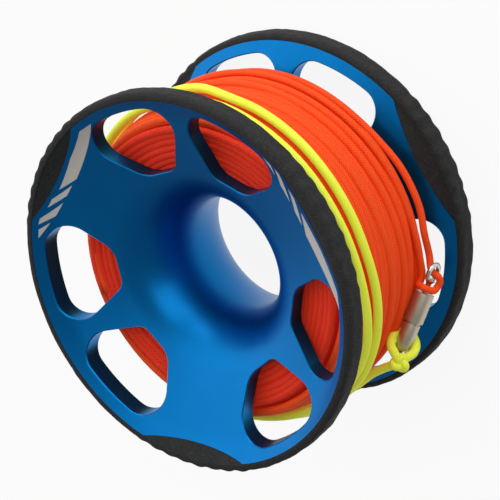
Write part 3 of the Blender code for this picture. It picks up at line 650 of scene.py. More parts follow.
def grained_rubber(name, colour, speckle):
    """Matte rubber with a pebbled grain, and painted highlight specks where the grain stands up."""
    material, tree, inputs = new_material(name, Roughness=0.85, Metallic=0.0, Specular_IOR_Level=0.35)
    calc = calculator(tree)
    grain = use_group(tree, speckle, Fine_Size=0.00045, Coarse_Size=0.0035)
    # Painted highlight: pale specks on the grain's peaks stand in for glints
    glint_factor, glint_base = 4.0, 0.012
    pale = tuple(glint_factor * part + glint_base for part in colour)
    peak_sharpness, peak_share = 4.0, 2.4
    glint_peaks = calc("MULTIPLY", calc("POWER", grain["Fine"], peak_sharpness), peak_share)
    tree.links.new(mix_colour(tree, calc("MINIMUM", glint_peaks, 1.0), colour, pale), inputs["Base Color"])
    tree.links.new(spread(tree, grain["Coarse"], low=0.72, high=0.95), inputs["Roughness"])
    height = calc("ADD", grain["Fine"], grain["Coarse"])
    add_bump(tree, inputs, height, strength=0.8, distance=0.00025)
    return material


def braided_cord(name, ridge, groove_shade, braid, speckle, glow, plaits, lay, depth, roughness):
    """A braided cord: bright plaits, painted shade between them and a faint nap, and a painted glow in the
    dye's colour.
    """
    material, tree, inputs = new_material(
        name, Roughness=roughness, Metallic=0.0, Emission_Strength=glow, Specular_IOR_Level=0.2
    )
    calc = calculator(tree)
    plait = use_group(tree, braid, Plaits=plaits, Lay_Length=lay)
    nap = use_group(tree, speckle, Fine_Size=0.0002, Coarse_Size=0.006)
    # Painted shade: the grooves between the plaits take the darker groove colour
    groove_share, nap_share = 0.7, 0.35
    shade = calc("MULTIPLY", plait["Groove"], groove_share)
    shade = calc("MINIMUM", calc("MULTIPLY_ADD", nap["Fine"], nap_share, shade), 1.0)
    colour = mix_colour(tree, shade, ridge, groove_shade)
    tree.links.new(colour, inputs["Base Color"])
    # Painted light: the cord glows in its own colour, though it is no lamp
    tree.links.new(colour, inputs["Emission Color"])
    uneven = 0.06
    tree.links.new(spread(tree, nap["Coarse"], roughness - uneven, roughness + uneven), inputs["Roughness"])
    add_bump(tree, inputs, plait["Height"], strength=0.7, distance=depth)
    return material


def steel(name, colour, speckle, roughness, fine_size, depth):
    """Stainless steel, blasted or polished by its roughness and grain."""
    material, tree, inputs = new_material(name, Roughness=roughness, Metallic=1.0)
    grain = use_group(tree, speckle, Fine_Size=fine_size, Coarse_Size=0.002)
    dull = tinted(colour, (0.88, 0.88, 0.88))
    tree.links.new(mix_colour(tree, grain["Coarse"], dull, colour), inputs["Base Color"])
    satin = spread(tree, grain["Fine"], 0.85 * roughness, 1.15 * roughness)
    tree.links.new(satin, inputs["Roughness"])
    add_bump(tree, inputs, grain["Fine"], strength=0.3, distance=depth)
    return material


def rays_that_see(tree, calc):
    """1 for the rays that show the background: the camera's, mirrored and refracted ones."""
    path = tree.nodes.new("ShaderNodeLightPath")
    rays = ("Is Camera Ray", "Is Glossy Ray", "Is Transmission Ray")
    return greatest(calc, [path.outputs[ray] for ray in rays])


def pale_floor(name):
    """Nearly white where it is seen, with the object's shadow, and pale grey in the light it gives back."""
    grey = (0.8, 0.8, 0.8, 1.0)
    material, tree, _ = new_material(name, Base_Color=grey, Roughness=0.9, Specular_IOR_Level=0.0)
    calc = calculator(tree)
    glow = tree.nodes.new("ShaderNodeEmission")
    set_values(glow, Color=WHITE, Strength=1.0)
    mix = tree.nodes.new("ShaderNodeMixShader")
    tree.links.new(calc("MULTIPLY", rays_that_see(tree, calc), FLOOR_GLOW), mix.inputs[0])
    tree.links.new(tree.nodes["Principled BSDF"].outputs[0], mix.inputs[1])
    tree.links.new(glow.outputs[0], mix.inputs[2])
    tree.links.new(mix.outputs[0], tree.nodes["Material Output"].inputs["Surface"])
    return material


MATERIALS = {}


def make_materials(settings):
    body, grip, line, snap = settings.body, settings.grip, settings.line, settings.snap
    speckle = speckle_group()
    braid = braid_group()
    bars = bars_group()
    MATERIALS["blue"] = anodised_metal("blue_anodising", tuple(body.blue), tuple(body.mark), speckle, bars)
    MATERIALS["rubber"] = grained_rubber("pebbled_rubber", tuple(grip.rubber), speckle)
    # Each cord's glow is painted light
    MATERIALS["line"] = braided_cord(
        "braided_line", tuple(line.orange), tuple(line.red), braid, speckle, glow=0.07, **LINE_WEAVE
    )
    # Painted shade: a deeper red copy of the line, with a stronger painted glow, for the inner turns seen
    # through the windows
    ridge = tinted(line.orange, INNER_LINE_SHADE_TINT)
    groove_shade = tinted(line.red, INNER_GROOVE_SHADE_TINT)
    MATERIALS["inner_line"] = braided_cord(
        "braided_line_painted_shade", ridge, groove_shade, braid, speckle, glow=0.12, **LINE_WEAVE
    )
    # Painted shade in the keeper cord's grooves
    groove_shade = tinted(line.yellow, KEEPER_GROOVE_SHADE_TINT)
    MATERIALS["cord"] = braided_cord(
        "elastic_cord", tuple(line.yellow), groove_shade, braid, speckle, glow=0.14, **KEEPER_WEAVE
    )
    MATERIALS["pale_steel"] = steel(
        "blasted_steel", tuple(snap.pale), speckle, roughness=0.46, fine_size=0.00008, depth=0.00001
    )
    MATERIALS["bright_steel"] = steel(
        "polished_steel", tuple(snap.bright), speckle, roughness=0.12, fine_size=0.0002, depth=0.000004
    )
    MATERIALS["floor"] = pale_floor("pale_floor")


DISH_LENGTH_FACTOR = math.sqrt(1 + DISH_SLOPE**2)
DISH_ANGLE = math.atan(DISH_SLOPE)


def dish_height(r):
    """Height of a flange's outer face over the middle plane, within the dish."""
    return HALF_WIDTH - BEVEL_DROP - DISH_SLOPE * (DISH_R - r)


def face_out(r):
    """Height of a flange's outer face over the middle plane: the dish, and its sweep up to the rim."""
    if r <= DISH_SWEEP_R:
        return dish_height(r)
    width = EDGE_R - DISH_SWEEP_R
    rise = HALF_WIDTH - LIP_T - dish_height(DISH_SWEEP_R) - DISH_SLOPE * width
    share = min(1.0, (r - DISH_SWEEP_R) / width)
    return dish_height(DISH_SWEEP_R) + DISH_SLOPE * share * width + rise * share**2


def face_in(r):
    """Height of a flange's inner face over the middle plane."""
    if r <= DISH_R:
        return dish_height(r) - DISH_T
    low = dish_height(DISH_R) - DISH_T
    return low + (r - DISH_R) * (HALF_WIDTH - RIM_T - low) / (PLATE_R - DISH_R)


HUB_ARC_R = (dish_height(0) - DISH_T + DISH_SLOPE * HUB_R) / (DISH_LENGTH_FACTOR - DISH_SLOPE)
HUB_ARC_X = HUB_R + HUB_ARC_R


def arc_points(centre, radius, start, stop, spans):
    """Points of an arc between two angles, both ends included."""
    step = (stop - start) / spans
    return [
        (centre[0] + radius * math.cos(start + k * step), centre[1] + radius * math.sin(start + k * step))
        for k in range(spans + 1)
    ]


def rounded(points, radius, spans=3):
    """An open outline with its inner corners rounded off."""
    path = [points[0]]
    for before, corner, after in zip(points, points[1:], points[2:]):
        corner_place = Vector(corner)
        to_before = (Vector(before) - corner_place).normalized()
        to_after = (Vector(after) - corner_place).normalized()
        first = corner_place + radius * to_before
        last = corner_place + radius * to_after
        for k in range(spans + 1):
            t = k / spans
            place = (1 - t) ** 2 * first + 2 * t * (1 - t) * corner_place + t**2 * last
            path.append(tuple(place))
    path.append(points[-1])
    return path


def throat_points():
    """Half of the bore: the flare of the throat and the softer mouth that runs into the dish."""
    meet = math.radians(THROAT_MEET_DEG)
    c, s = math.cos(meet), math.sin(meet)
    sink = dish_height(0) - MOUTH_R * DISH_LENGTH_FACTOR
    flare_r = (sink + DISH_SLOPE * (THROAT_R - MOUTH_R * c) + MOUTH_R * s) / (s - DISH_SLOPE * (1 + c))
    throat_x = THROAT_R + flare_r
    mouth_centre = (throat_x + (flare_r - MOUTH_R) * c, (flare_r - MOUTH_R) * s)
    flare = arc_points((throat_x, 0), flare_r, math.pi, meet, FLARE_SPANS)
    mouth = arc_points(mouth_centre, MOUTH_R, meet, math.pi / 2 + DISH_ANGLE, MOUTH_SPANS)
    return flare + mouth[1:]


def sweep_points(first=DISH_SWEEP_R, spans=14):
    """The sweep from the dish up to the rim, from a radius outwards."""
    radii = [first + (EDGE_R - first) * k / spans for k in range(spans + 1)]
    return [(r, face_out(r)) for r in radii]


def body_profile():
    """The whole section of the body, from the middle of its bore round both flanges, as (radius, height)."""
    edge = [(PLATE_R, HALF_WIDTH - LIP_T), (PLATE_R, HALF_WIDTH - RIM_T)]
    rim = rounded(sweep_points() + edge, RIM_ROUND)
    rim += [(DISH_R, face_in(DISH_R))]
    hub = arc_points((HUB_ARC_X, 0), HUB_ARC_R, math.pi / 2 + DISH_ANGLE, math.pi, HUB_SPANS)
    upper = throat_points() + rim + hub
    lower = [(r, -z) for r, z in reversed(upper)]
    return [(r, z + HALF_WIDTH) for r, z in upper + lower[1:-1]]


def full_spin(shape, geom, steps):
    bmesh.ops.spin(
        shape,
        geom=geom,
        cent=(0, 0, 0),
        axis=(0, 0, 1),
        angle=FULL_TURN,
        steps=steps,
        use_merge=True,
        use_duplicate=False,
    )


def settle_order(shape):
    """Order edges and faces by their corners, because spin and extrude list them differently each run."""
    shape.verts.index_update()
    count = len(shape.verts)

    def corner_key(item):
        places = [v.index for v in item.verts]
        return min(places) * count + max(places)

    for items in (shape.edges, shape.faces):
        items.sort(key=corner_key)
        items.index_update()


def spun(name, profile, steps, axis_frame=None):
    """A closed or open section of (radius, height), spun about Z or about the Z axis of a frame."""
    shape = bmesh.new()
    corners = [shape.verts.new((r, 0, z)) for r, z in profile]
    edges = [shape.edges.new(pair) for pair in zip(corners, corners[1:])]
    closed = min(r for r, z in profile) > 0
    if closed:
        edges.append(shape.edges.new((corners[-1], corners[0])))
    full_spin(shape, corners + edges, steps)
    bmesh.ops.remove_doubles(shape, verts=shape.verts, dist=SPUN_MERGE)
    settle_order(shape)
    bmesh.ops.recalc_face_normals(shape, faces=shape.faces)
    if axis_frame is not None:
        shape.transform(axis_frame)
    return mesh_from(shape, name)


def line_of(base_deg, offset, tilt_deg, side):
    """A window's side: a line beside a spoke, at an offset at the gauge radius, tilted from the spoke."""
    base = math.radians(base_deg)
    along = Vector((math.cos(base), math.sin(base)))
    across = side * Vector((-math.sin(base), math.cos(base)))
    point = SPOKE_GAUGE_R * along + offset * across
    tilted = base + side * math.radians(tilt_deg)
    direction = Vector((math.cos(tilted), math.sin(tilted)))
    normal = side * Vector((-math.sin(tilted), math.cos(tilted)))
    return point, direction, normal


def outer_corner(line, radius):
    """Centre of a corner that touches a side and the outer arc."""
    point, direction, normal = line
    start = point + radius * normal
    half = start.dot(direction)
    rest = start.length_squared - (WINDOW_OUTER_R - radius) ** 2
    return start + (math.sqrt(half * half - rest) - half) * direction


def inner_corner(line, chord_normal, radius):
    """Centre of a corner that touches a side and the inner chord."""
    point, direction, normal = line
    start = point + radius * normal
    return start + (WINDOW_INNER + radius - start.dot(chord_normal)) / direction.dot(chord_normal) * direction


def corner_arc(centre, radius, start, stop):
    """Arc from one outward direction to the other, the short way round."""
    first = math.atan2(start.y, start.x)
    turn = (math.atan2(stop.y, stop.x) - first + math.pi) % FULL_TURN - math.pi
    return arc_points(centre, radius, first, first + turn, CORNER_SPANS)


def window_outline():
    """One window, on the far side of a narrow spoke that lies along X."""
    narrow = line_of(0, NARROW_HALF, NARROW_TILT_DEG, 1)
    wide = line_of(SPOKE_STEP_DEG, WIDE_HALF, WIDE_TILT_DEG, -1)
    chord_turn = math.radians(SPOKE_STEP_DEG / 2 + WINDOW_INNER_TURN_DEG)
    chord = Vector((math.cos(chord_turn), math.sin(chord_turn)))
    outer_narrow = outer_corner(narrow, CORNER_RADII[0])
    outer_wide = outer_corner(wide, CORNER_RADII[1])
    inner_wide = inner_corner(wide, chord, CORNER_RADII[2])
    inner_narrow = inner_corner(narrow, chord, CORNER_RADII[3])
    points = corner_arc(outer_narrow, CORNER_RADII[0], -narrow[2], outer_narrow)
    rim_start = math.atan2(outer_narrow.y, outer_narrow.x)
    rim_stop = math.atan2(outer_wide.y, outer_wide.x)
    points += arc_points((0, 0), WINDOW_OUTER_R, rim_start, rim_stop, WINDOW_OUTER_SPANS)[1:-1]
    points += corner_arc(outer_wide, CORNER_RADII[1], outer_wide, -wide[2])
    points += corner_arc(inner_wide, CORNER_RADII[2], -wide[2], -chord)
    points += corner_arc(inner_narrow, CORNER_RADII[3], -chord, -narrow[2])
    return [Vector(p) for p in points]


def grown(outline, distance):
    """A closed outline that runs counter-clockwise, moved outwards by a distance."""
    result = []
    for before, place, after in zip(outline[-1:] + outline, outline, outline[1:] + outline[:1]):
        heading = (after - before).normalized()
        result.append(place + distance * Vector((heading.y, -heading.x)))
    return result


def placed_outline(outline, angle_deg, flip):
    """An outline turned about the spool's axis, after a flip over the X axis if asked."""
    turn = Matrix.Rotation(math.radians(angle_deg), 2)
    points = [Vector((p.x, -p.y)) if flip else p for p in outline]
    points = [turn @ p for p in points]
    return list(reversed(points)) if flip else points


def window_cutter(shape, outline, chamfer):
    """A cutter through both flanges, with a chamfer at each of the four faces that it passes."""
    wide = grown(outline, chamfer + CUTTER_REACH)
    rings = []
    for side in (-1, 1):
        levels = [
            (wide, lambda r: face_out(r) + CUTTER_REACH),
            (outline, lambda r: face_out(r) - chamfer),
            (outline, lambda r: face_in(r) + chamfer),
            (wide, lambda r: face_in(r) - CUTTER_REACH),
        ]
        if side > 0:
            levels.reverse()
        for points, height in levels:
            rings.append([Vector((p.x, p.y, HALF_WIDTH + side * height(p.length))) for p in points])
    previous = [shape.verts.new(p) for p in rings[0]]
    bottom = shape.faces.new(reversed(previous))
    ring = list(bottom.edges)
    for places in rings[1:]:
        step = bmesh.ops.extrude_edge_only(shape, edges=ring)
        edges = [e for e in step["geom"] if isinstance(e, bmesh.types.BMEdge)]
        ring = [e for e in edges if all(v not in previous for v in e.verts)]
        moved = [v for v in step["geom"] if isinstance(v, bmesh.types.BMVert)]
        order = {}
        for vert in moved:
            twin = next(e.other_vert(vert) for e in vert.link_edges if e.other_vert(vert) in previous)
            order[previous.index(twin)] = vert
        previous = [order[k] for k in range(len(places))]
        for vert, place in zip(previous, places):
            vert.co = place
    shape.faces.new(previous)


def apply_cut(obj, cutter_mesh):
    """Take a cutter's volume out of an object for good."""
    cutter = bpy.data.objects.new("cutter", cutter_mesh)
    bpy.context.scene.collection.objects.link(cutter)
    change = obj.modifiers.new("cut", "BOOLEAN")
    change.operation = "DIFFERENCE"
    change.solver = "EXACT"
    change.object = cutter
    bpy.context.view_layer.update()
    graph = bpy.context.evaluated_depsgraph_get()
    mesh = bpy.data.meshes.new_from_object(obj.evaluated_get(graph))
    obj.modifiers.remove(change)
    old = obj.data
    obj.data = mesh
    mesh.name = old.name
    bpy.data.meshes.remove(old)
    bpy.data.objects.remove(cutter, do_unlink=True)
    bpy.data.meshes.remove(cutter_mesh)


def upright_cylinder(shape, radius, depth, spans, place):
    bmesh.ops.create_cone(
        shape,
        cap_ends=True,
        segments=spans,
        radius1=radius,
        radius2=radius,
        depth=depth,
        matrix=place,
    )


def scallop_mesh(radius):
    """The three upright cylinders that cut the scallops for the pads."""
    shape = bmesh.new()
    reach = PLATE_R - SCALLOP_DEPTH + SCALLOP_R
    for k in range(PAD_COUNT):
        angle = math.radians(PAD_AZIMUTH_DEG) + k * FULL_TURN / PAD_COUNT
        place = Matrix.Translation((reach * math.cos(angle), reach * math.sin(angle), HALF_WIDTH))
        place = place @ Matrix.Rotation(angle, 4, "Z")
        upright_cylinder(shape, radius, 3 * HALF_WIDTH, SCALLOP_SPANS, place)
    return mesh_from(shape, "scallops")


def tube_mesh(name, route, radius, roundness):
    """A round cord along a route, with filled ends and a UV map that runs along it in metres."""
    curve = bpy.data.curves.new(name, "CURVE")
    curve.dimensions = "3D"
    curve.bevel_depth = radius
    curve.bevel_resolution = roundness
    curve.use_fill_caps = True
    curve.twist_mode = "MINIMUM"
    spline = curve.splines.new("POLY")
    spline.points.add(len(route) - 1)
    for point, place in zip(spline.points, route):
        point.co = (*place, 1)
    spline.use_smooth = True
    holder = bpy.data.objects.new(name, curve)
    bpy.context.scene.collection.objects.link(holder)
    graph = bpy.context.evaluated_depsgraph_get()
    mesh = bpy.data.meshes.new_from_object(holder.evaluated_get(graph))
    bpy.data.objects.remove(holder, do_unlink=True)
    bpy.data.curves.remove(curve)
    lengths = [0.0]
    for a, b in zip(route, route[1:]):
        lengths.append(lengths[-1] + (b - a).length)
    last = len(route) - 1
    for loop in mesh.uv_layers[0].data:
        loop.uv.x = lengths[min(last, round(loop.uv.x * last))]
    shape = bmesh.new()
    shape.from_mesh(mesh)
    bmesh.ops.remove_doubles(shape, verts=shape.verts, dist=TUBE_MERGE)
    shape.to_mesh(mesh)
    shape.free()
    mesh.name = name
    return mesh


def cord_object(name, route, radius, roundness, material):
    """A piece that is one round cord, wire or rod along a route."""
    return new_object(name, tube_mesh(name, route, radius, roundness), material)


def smooth_route(points, step, bend_deg=12.0):
    """Points along a smooth curve through the given ones: near the step apart, and closer where it bends."""
    points = [Vector(p) for p in points]
    chords = [(b - a).length for a, b in zip(points, points[1:])]
    headings = [(b - a) / d for a, b, d in zip(points, points[1:], chords)]
    slopes = [headings[0]]
    for u, v, d, e in zip(headings, headings[1:], chords, chords[1:]):
        slopes.append((e * u + d * v) / (d + e))
    slopes.append(headings[-1])
    slopes[0] = (2 * headings[0] - slopes[1]).normalized()
    slopes[-1] = (2 * headings[-1] - slopes[-2]).normalized()
    route = []
    for a, b, u, v, d in zip(points, points[1:], slopes, slopes[1:], chords):
        turn_deg = math.degrees(u.angle(v))
        count = max(1, round(d / step), math.ceil(turn_deg / bend_deg))
        for k in range(count):
            t = k / count
            route.append(
                (2 * t**3 - 3 * t**2 + 1) * a
                + (t**3 - 2 * t**2 + t) * d * u
                + (3 * t**2 - 2 * t**3) * b
                + (t**3 - t**2) * d * v
            )
    return route + [points[-1]]


def wound_surface(z):
    """Radius of the wound line's surface at a height over the middle plane."""
    share = min(1.0, abs(z) / WOUND_HALF)
    return WOUND_EDGE_R + (WOUND_R - WOUND_EDGE_R) * (1 - share**WOUND_FULLNESS) ** WOUND_ROUNDNESS


def on_wound(azimuth_deg, z, over):
    """A point over the wound surface, in the frame's space."""
    angle = math.radians(azimuth_deg)
    r = wound_surface(z) + over
    return Vector((r * math.cos(angle), r * math.sin(angle), z + HALF_WIDTH))


def wound_lean(z):
    """How much longer a step out along the radius is than one square to the wound surface."""
    step = LINE_R / 2
    slope = (wound_surface(z + step) - wound_surface(z - step)) / (2 * step)
    return math.sqrt(1 + slope**2)


def cord_over(route, radius, step):
    """World points of a cord that lies over the wound surface at each place of its route."""
    over = radius + SEAT_GAP + step**2 / (8 * WOUND_R)
    points = []
    for azimuth, height_share, lift in route:
        z = height_share * WOUND_HALF
        points.append(on_wound(azimuth, z, over * wound_lean(z) + lift))
    return points


def snap_frame():
    """Frame of the snap: origin at the middle of its eye, Z along the snap, X away from the spool's axis."""
    azimuth = math.radians(EYE_AZIMUTH_DEG)
    climb = math.radians(SNAP_CLIMB_DEG)
    turn_in = math.radians(SNAP_TURN_IN_DEG)
    outward = Vector((math.cos(azimuth), math.sin(azimuth), 0))
    clockwise = Vector((math.sin(azimuth), -math.cos(azimuth), 0))
    along = math.cos(climb) * (math.cos(turn_in) * clockwise - math.sin(turn_in) * outward)
    along.z = math.sin(climb)
    along.normalize()
    x_axis = (outward - outward.dot(along) * along).normalized()
    y_axis = along.cross(x_axis)
    origin = EYE_STAND_R * outward + Vector((0, 0, HALF_WIDTH + EYE_HEIGHT))
    return Matrix.Translation(origin) @ Matrix((x_axis, y_axis, along)).transposed().to_4x4()


class SPOOL_OT_materials(bpy.types.Operator):
    """Make the spool's finishes"""

    bl_idname = "finger_spool.materials"
    bl_label = "Finishes"

    def execute(self, context):
        make_materials(context.scene.finger_spool)
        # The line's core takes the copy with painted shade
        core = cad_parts["line_core"]
        core.data.materials.clear()
        core.data.materials.append(MATERIALS["inner_line"])
        return {"FINISHED"}


class SPOOL_OT_body(bpy.types.Operator):
    """Make the turned and milled body"""

    bl_idname = "finger_spool.body"
    bl_label = "Body"

    def execute(self, context):
        settings = context.scene.finger_spool.body
        mesh = spun("body_shell", body_profile(), settings.turn_steps)
        obj = new_object("body_shell", mesh, MATERIALS["blue"])
        outline = window_outline()
        shape = bmesh.new()
        for k in range(WINDOW_PAIRS):
            for flip in (False, True):
                spoke = NARROW_SPOKE_DEG + 2 * k * SPOKE_STEP_DEG
                window_cutter(shape, placed_outline(outline, spoke, flip), settings.edge_chamfer)
        settle_order(shape)
        bmesh.ops.triangulate(shape, faces=[f for f in shape.faces if len(f.verts) > 4])
        bmesh.ops.recalc_face_normals(shape, faces=shape.faces)
        apply_cut(obj, mesh_from(shape, "windows"))
        apply_cut(obj, scallop_mesh(SCALLOP_R))
        shade_round(obj.data)
        finish(obj, "spool", "blue_aluminium", "spool_body")
        return {"FINISHED"}


def grip_profile(thickness):
    """Section of the upper grip: the ring round the rim with the pad that continues the flange's faces."""
    pad_r = PLATE_R - SCALLOP_DEPTH - PAD_SPARE
    outer_r = PLATE_R + thickness
    foot_r = PLATE_R - GRIP_FOOT
    top = HALF_WIDTH
    bottom = HALF_WIDTH - RIM_T
    corners = [(EDGE_R + LIP_T, top), (outer_r, top), (outer_r, bottom), (foot_r, bottom)]
    crown = []
    for point in rounded(corners, GRIP_ROUND, GRIP_ROUND_SPANS)[1:-1]:
        if crown and abs(crown[-1][1] - point[1]) > GRIP_TALLEST_STEP:
            low, high = crown[-1], point
            for k in range(1, GRIP_LEVELS):
                t = k / GRIP_LEVELS
                crown.append((low[0] + t * (high[0] - low[0]), low[1] + t * (high[1] - low[1])))
        crown.append(point)
    lip = [(EDGE_R + LIP_T / 3, top - LIP_T / 4), (EDGE_R + LIP_T, top)]
    inside = [(foot_r, bottom + GRIP_FOOT_LIFT), (DISH_R, face_in(DISH_R)), (pad_r, face_in(pad_r))]
    return sweep_points(pad_r, PAD_SWEEP_SPANS) + lip + crown + inside


def pad_share(azimuth):
    """How much a place round the rim belongs to a pad, 1 along most of the pad and 0 between the pads."""
    step = FULL_TURN / PAD_COUNT
    away = (azimuth - math.radians(PAD_AZIMUTH_DEG) + step / 2) % step - step / 2
    inside = math.radians(PAD_HALF_DEG) - abs(away)
    return max(0.0, min(1.0, inside / math.radians(PAD_FADE_DEG)))


def roughen_grip(mesh, settings):
    """Shallow waves on the pads' outer edge, and the soft unevenness of moulded rubber."""
    for vert in mesh.vertices:
        x, y, z = vert.co
        r = math.hypot(x, y)
        outside = max(0.0, min(1.0, (r - PLATE_R) / settings.thickness))
        if outside <= 0:
            continue
        azimuth = math.atan2(y, x)
        wave = math.sin(FULL_TURN * azimuth * PLATE_R / settings.wave_length)
        push = settings.wave_depth * wave * pad_share(azimuth)
        for height, size in GRIP_LUMPS:
            push += height * noise.noise(Vector((x, y, z)) / size)
        push -= GRIP_SINK
        factor = 1 + outside * push / r
        vert.co = (x * factor, y * factor, z)


def body_clearance(spans):
    """The space that a grip leaves for the plate: its disc with the scallops taken out of it."""
    shape = bmesh.new()
    depth = 2 * (HALF_WIDTH - LIP_T + GRIP_CLEARANCE / 2)
    upright_cylinder(shape, PLATE_R + GRIP_CLEARANCE, depth, spans, Matrix.Translation((0, 0, HALF_WIDTH)))
    holder = bpy.data.objects.new("clearance", mesh_from(shape, "clearance"))
    bpy.context.scene.collection.objects.link(holder)
    apply_cut(holder, scallop_mesh(SCALLOP_R - GRIP_CLEARANCE))
    mesh = holder.data
    bpy.data.objects.remove(holder, do_unlink=True)
    return mesh


class SPOOL_OT_grips(bpy.types.Operator):
    """Make the rubber ring and pads of each flange"""

    bl_idname = "finger_spool.grips"
    bl_label = "Grips"

    def execute(self, context):
        settings = context.scene.finger_spool.grip
        upper = grip_profile(settings.thickness)
        for name, side, node in (("front_rubber", 1, "front_grip"), ("rear_rubber", -1, "rear_grip")):
            section = [(r, HALF_WIDTH + side * z) for r, z in upper]
            obj = new_object(name, spun(name, section, settings.steps), MATERIALS["rubber"])
            apply_cut(obj, body_clearance(settings.steps))
            roughen_grip(obj.data, settings)
            shade_round(obj.data, GRIP_SHARP_DEG)
            finish(obj, "spool", "black_rubber", node)
        return {"FINISHED"}


def surface_stations(radius, turns):
    """Heights of a winding's centre line at equal steps along the wound surface, from front to rear."""
    top = WOUND_HALF - radius
    heights = [top - 2 * top * k / SURFACE_STEPS for k in range(SURFACE_STEPS + 1)]
    lengths = [0.0]
    for a, b in zip(heights, heights[1:]):
        lengths.append(lengths[-1] + math.hypot(wound_surface(b) - wound_surface(a), b - a))
    total = turns * TURN_POINTS
    stations = []
    place = 0
    for k in range(total + 1):
        wanted = lengths[-1] * k / total
        while place < SURFACE_STEPS - 1 and lengths[place + 1] < wanted:
            place += 1
        share = (wanted - lengths[place]) / (lengths[place + 1] - lengths[place])
        stations.append(heights[place] + share * (heights[place + 1] - heights[place]))
    return stations


def noise_place(angle, across, rates):
    """Where the smooth noise of a turn is read, from its angle round the winding and its place across it."""
    around_rate, across_rate = rates
    return Vector((around_rate * math.cos(angle), around_rate * math.sin(angle), across_rate * across))


def outer_turns_route(radius):
    """The outer layer, turn beside turn, each a little uneven."""
    route = []
    for k, z in enumerate(surface_stations(radius, OUTER_TURNS)):
        azimuth = WOUND_START_DEG - k * 360.0 / TURN_POINTS
        seed = noise_place(math.radians(azimuth), z, OUTER_NOISE_RATES)
        sway = OUTER_SWAY * noise.noise(seed)
        swell = OUTER_SWELL * noise.noise(seed + Vector(OUTER_NOISE_SHIFT))
        swell -= OUTER_START_DEPTH * max(0.0, 1 - k / OUTER_START_POINTS)
        place = max(-WOUND_HALF + radius, min(WOUND_HALF - radius, z + sway))
        route.append(on_wound(azimuth, place, -radius + swell))
    return route


def side_turns_route(side):
    """Turns that show on the winding's end face, spiralling in from its edge to the hub."""
    route = []
    total = SIDE_TURNS * TURN_POINTS
    for k in range(total + 1):
        share = k / total
        azimuth = math.radians(WOUND_START_DEG - side * k * 360.0 / TURN_POINTS)
        r = SIDE_OUTER_R + share * (SIDE_INNER_R - SIDE_OUTER_R)
        seed = noise_place(azimuth, r * side, SIDE_NOISE_RATES)
        r += SIDE_SWAY * noise.noise(seed)
        z = SIDE_HEIGHT - SIDE_DROP * share + SIDE_SWELL * noise.noise(seed + Vector(SIDE_NOISE_SHIFT))
        route.append(Vector((r * math.cos(azimuth), r * math.sin(azimuth), HALF_WIDTH + side * z)))
    return route


def stray_turn_route(start_deg, sweep_deg, z_start, z_stop, lift):
    """A turn that wanders over its neighbours, and sinks between them at both ends."""
    count = round(abs(sweep_deg) / STRAY_STEP_DEG)
    route = []
    for k in range(count + 1):
        t = k / count
        z = z_start + (z_stop - z_start) * (3 * t**2 - 2 * t**3)
        over = lift * min(1.0, STRAY_RISE * t, STRAY_RISE * (1 - t)) - LINE_R
        route.append(on_wound(start_deg + sweep_deg * t, z, over))
    return route


def tail_route(last_turn_end):
    """The loose end of the line: out of the winding, round the snap's eye and back over the winding."""
    outward = Vector((last_turn_end.x, last_turn_end.y, 0)).normalized()
    onward = Vector((outward.y, -outward.x, 0))
    points = [last_turn_end - LEAD_BACK * onward, last_turn_end + LEAD_ON * onward]
    points += cord_over(TAIL_OUT, TAIL_R, TAIL_STEP)
    snap = snap_frame()
    points += [snap @ Vector(p) for p in HITCH]
    points += cord_over(TAIL_BACK, TAIL_R, TAIL_STEP)
    return smooth_route(points, TAIL_FINE_STEP)


class SPOOL_OT_line(bpy.types.Operator):
    """Make the wound line and its loose end"""

    bl_idname = "finger_spool.line"
    bl_label = "Line"

    def execute(self, context):
        radius = context.scene.finger_spool.line.strand_radius
        material = MATERIALS["line"]
        turns = outer_turns_route(radius)
        outer = cord_object("outer_turns", turns, radius, LINE_ROUNDNESS, material)
        finish(outer, "spool", "orange_line", "line_winding")
        # The turns on the winding's end faces take the copy with painted shade
        for name, side in (("front_side_turns", 1), ("rear_side_turns", -1)):
            obj = cord_object(name, side_turns_route(side), radius, LINE_ROUNDNESS, MATERIALS["inner_line"])
            finish(obj, "spool", "orange_line")
        for k, values in enumerate(STRAY_TURNS):
            name = f"stray_turn_{k + 1}"
            obj = cord_object(name, stray_turn_route(*values), radius, LINE_ROUNDNESS, material)
            finish(obj, "spool", "orange_line")
        tail = cord_object("loose_end", tail_route(turns[-1]), TAIL_R, CORD_ROUNDNESS, material)
        finish(tail, "spool", "orange_line", "line_tail")
        return {"FINISHED"}


def loop_points(snap, left, front, along):
    """The open ring of the keeper cord's loop through the hook, leaning along the snap."""
    first = 90.0 + LOOP_OPEN_DEG
    sweep = 360.0 - 2 * LOOP_OPEN_DEG
    points = []
    for k in range(LOOP_SPANS + 1):
        angle = math.radians(first + sweep * k / LOOP_SPANS)
        ring = LOOP_R * (math.cos(angle) * left + math.sin(angle) * front)
        points.append(snap @ (ring + (LOOP_MIDDLE_S + LOOP_LEAN * math.sin(angle)) * along))
    return points


def knot_points(snap, middle, left, front, along):
    """A small overhand knot, as a closed trefoil."""
    turn = snap.to_3x3()
    points = []
    for k in range(KNOT_SPANS + 1):
        t = FULL_TURN * k / KNOT_SPANS
        x = math.sin(t) + 2 * math.sin(2 * t)
        y = math.cos(t) - 2 * math.cos(2 * t)
        z = -KNOT_DEPTH * math.sin(3 * t)
        points.append(middle + turn @ (KNOT_SIZE * (x * left + y * along + z * front)))
    return points


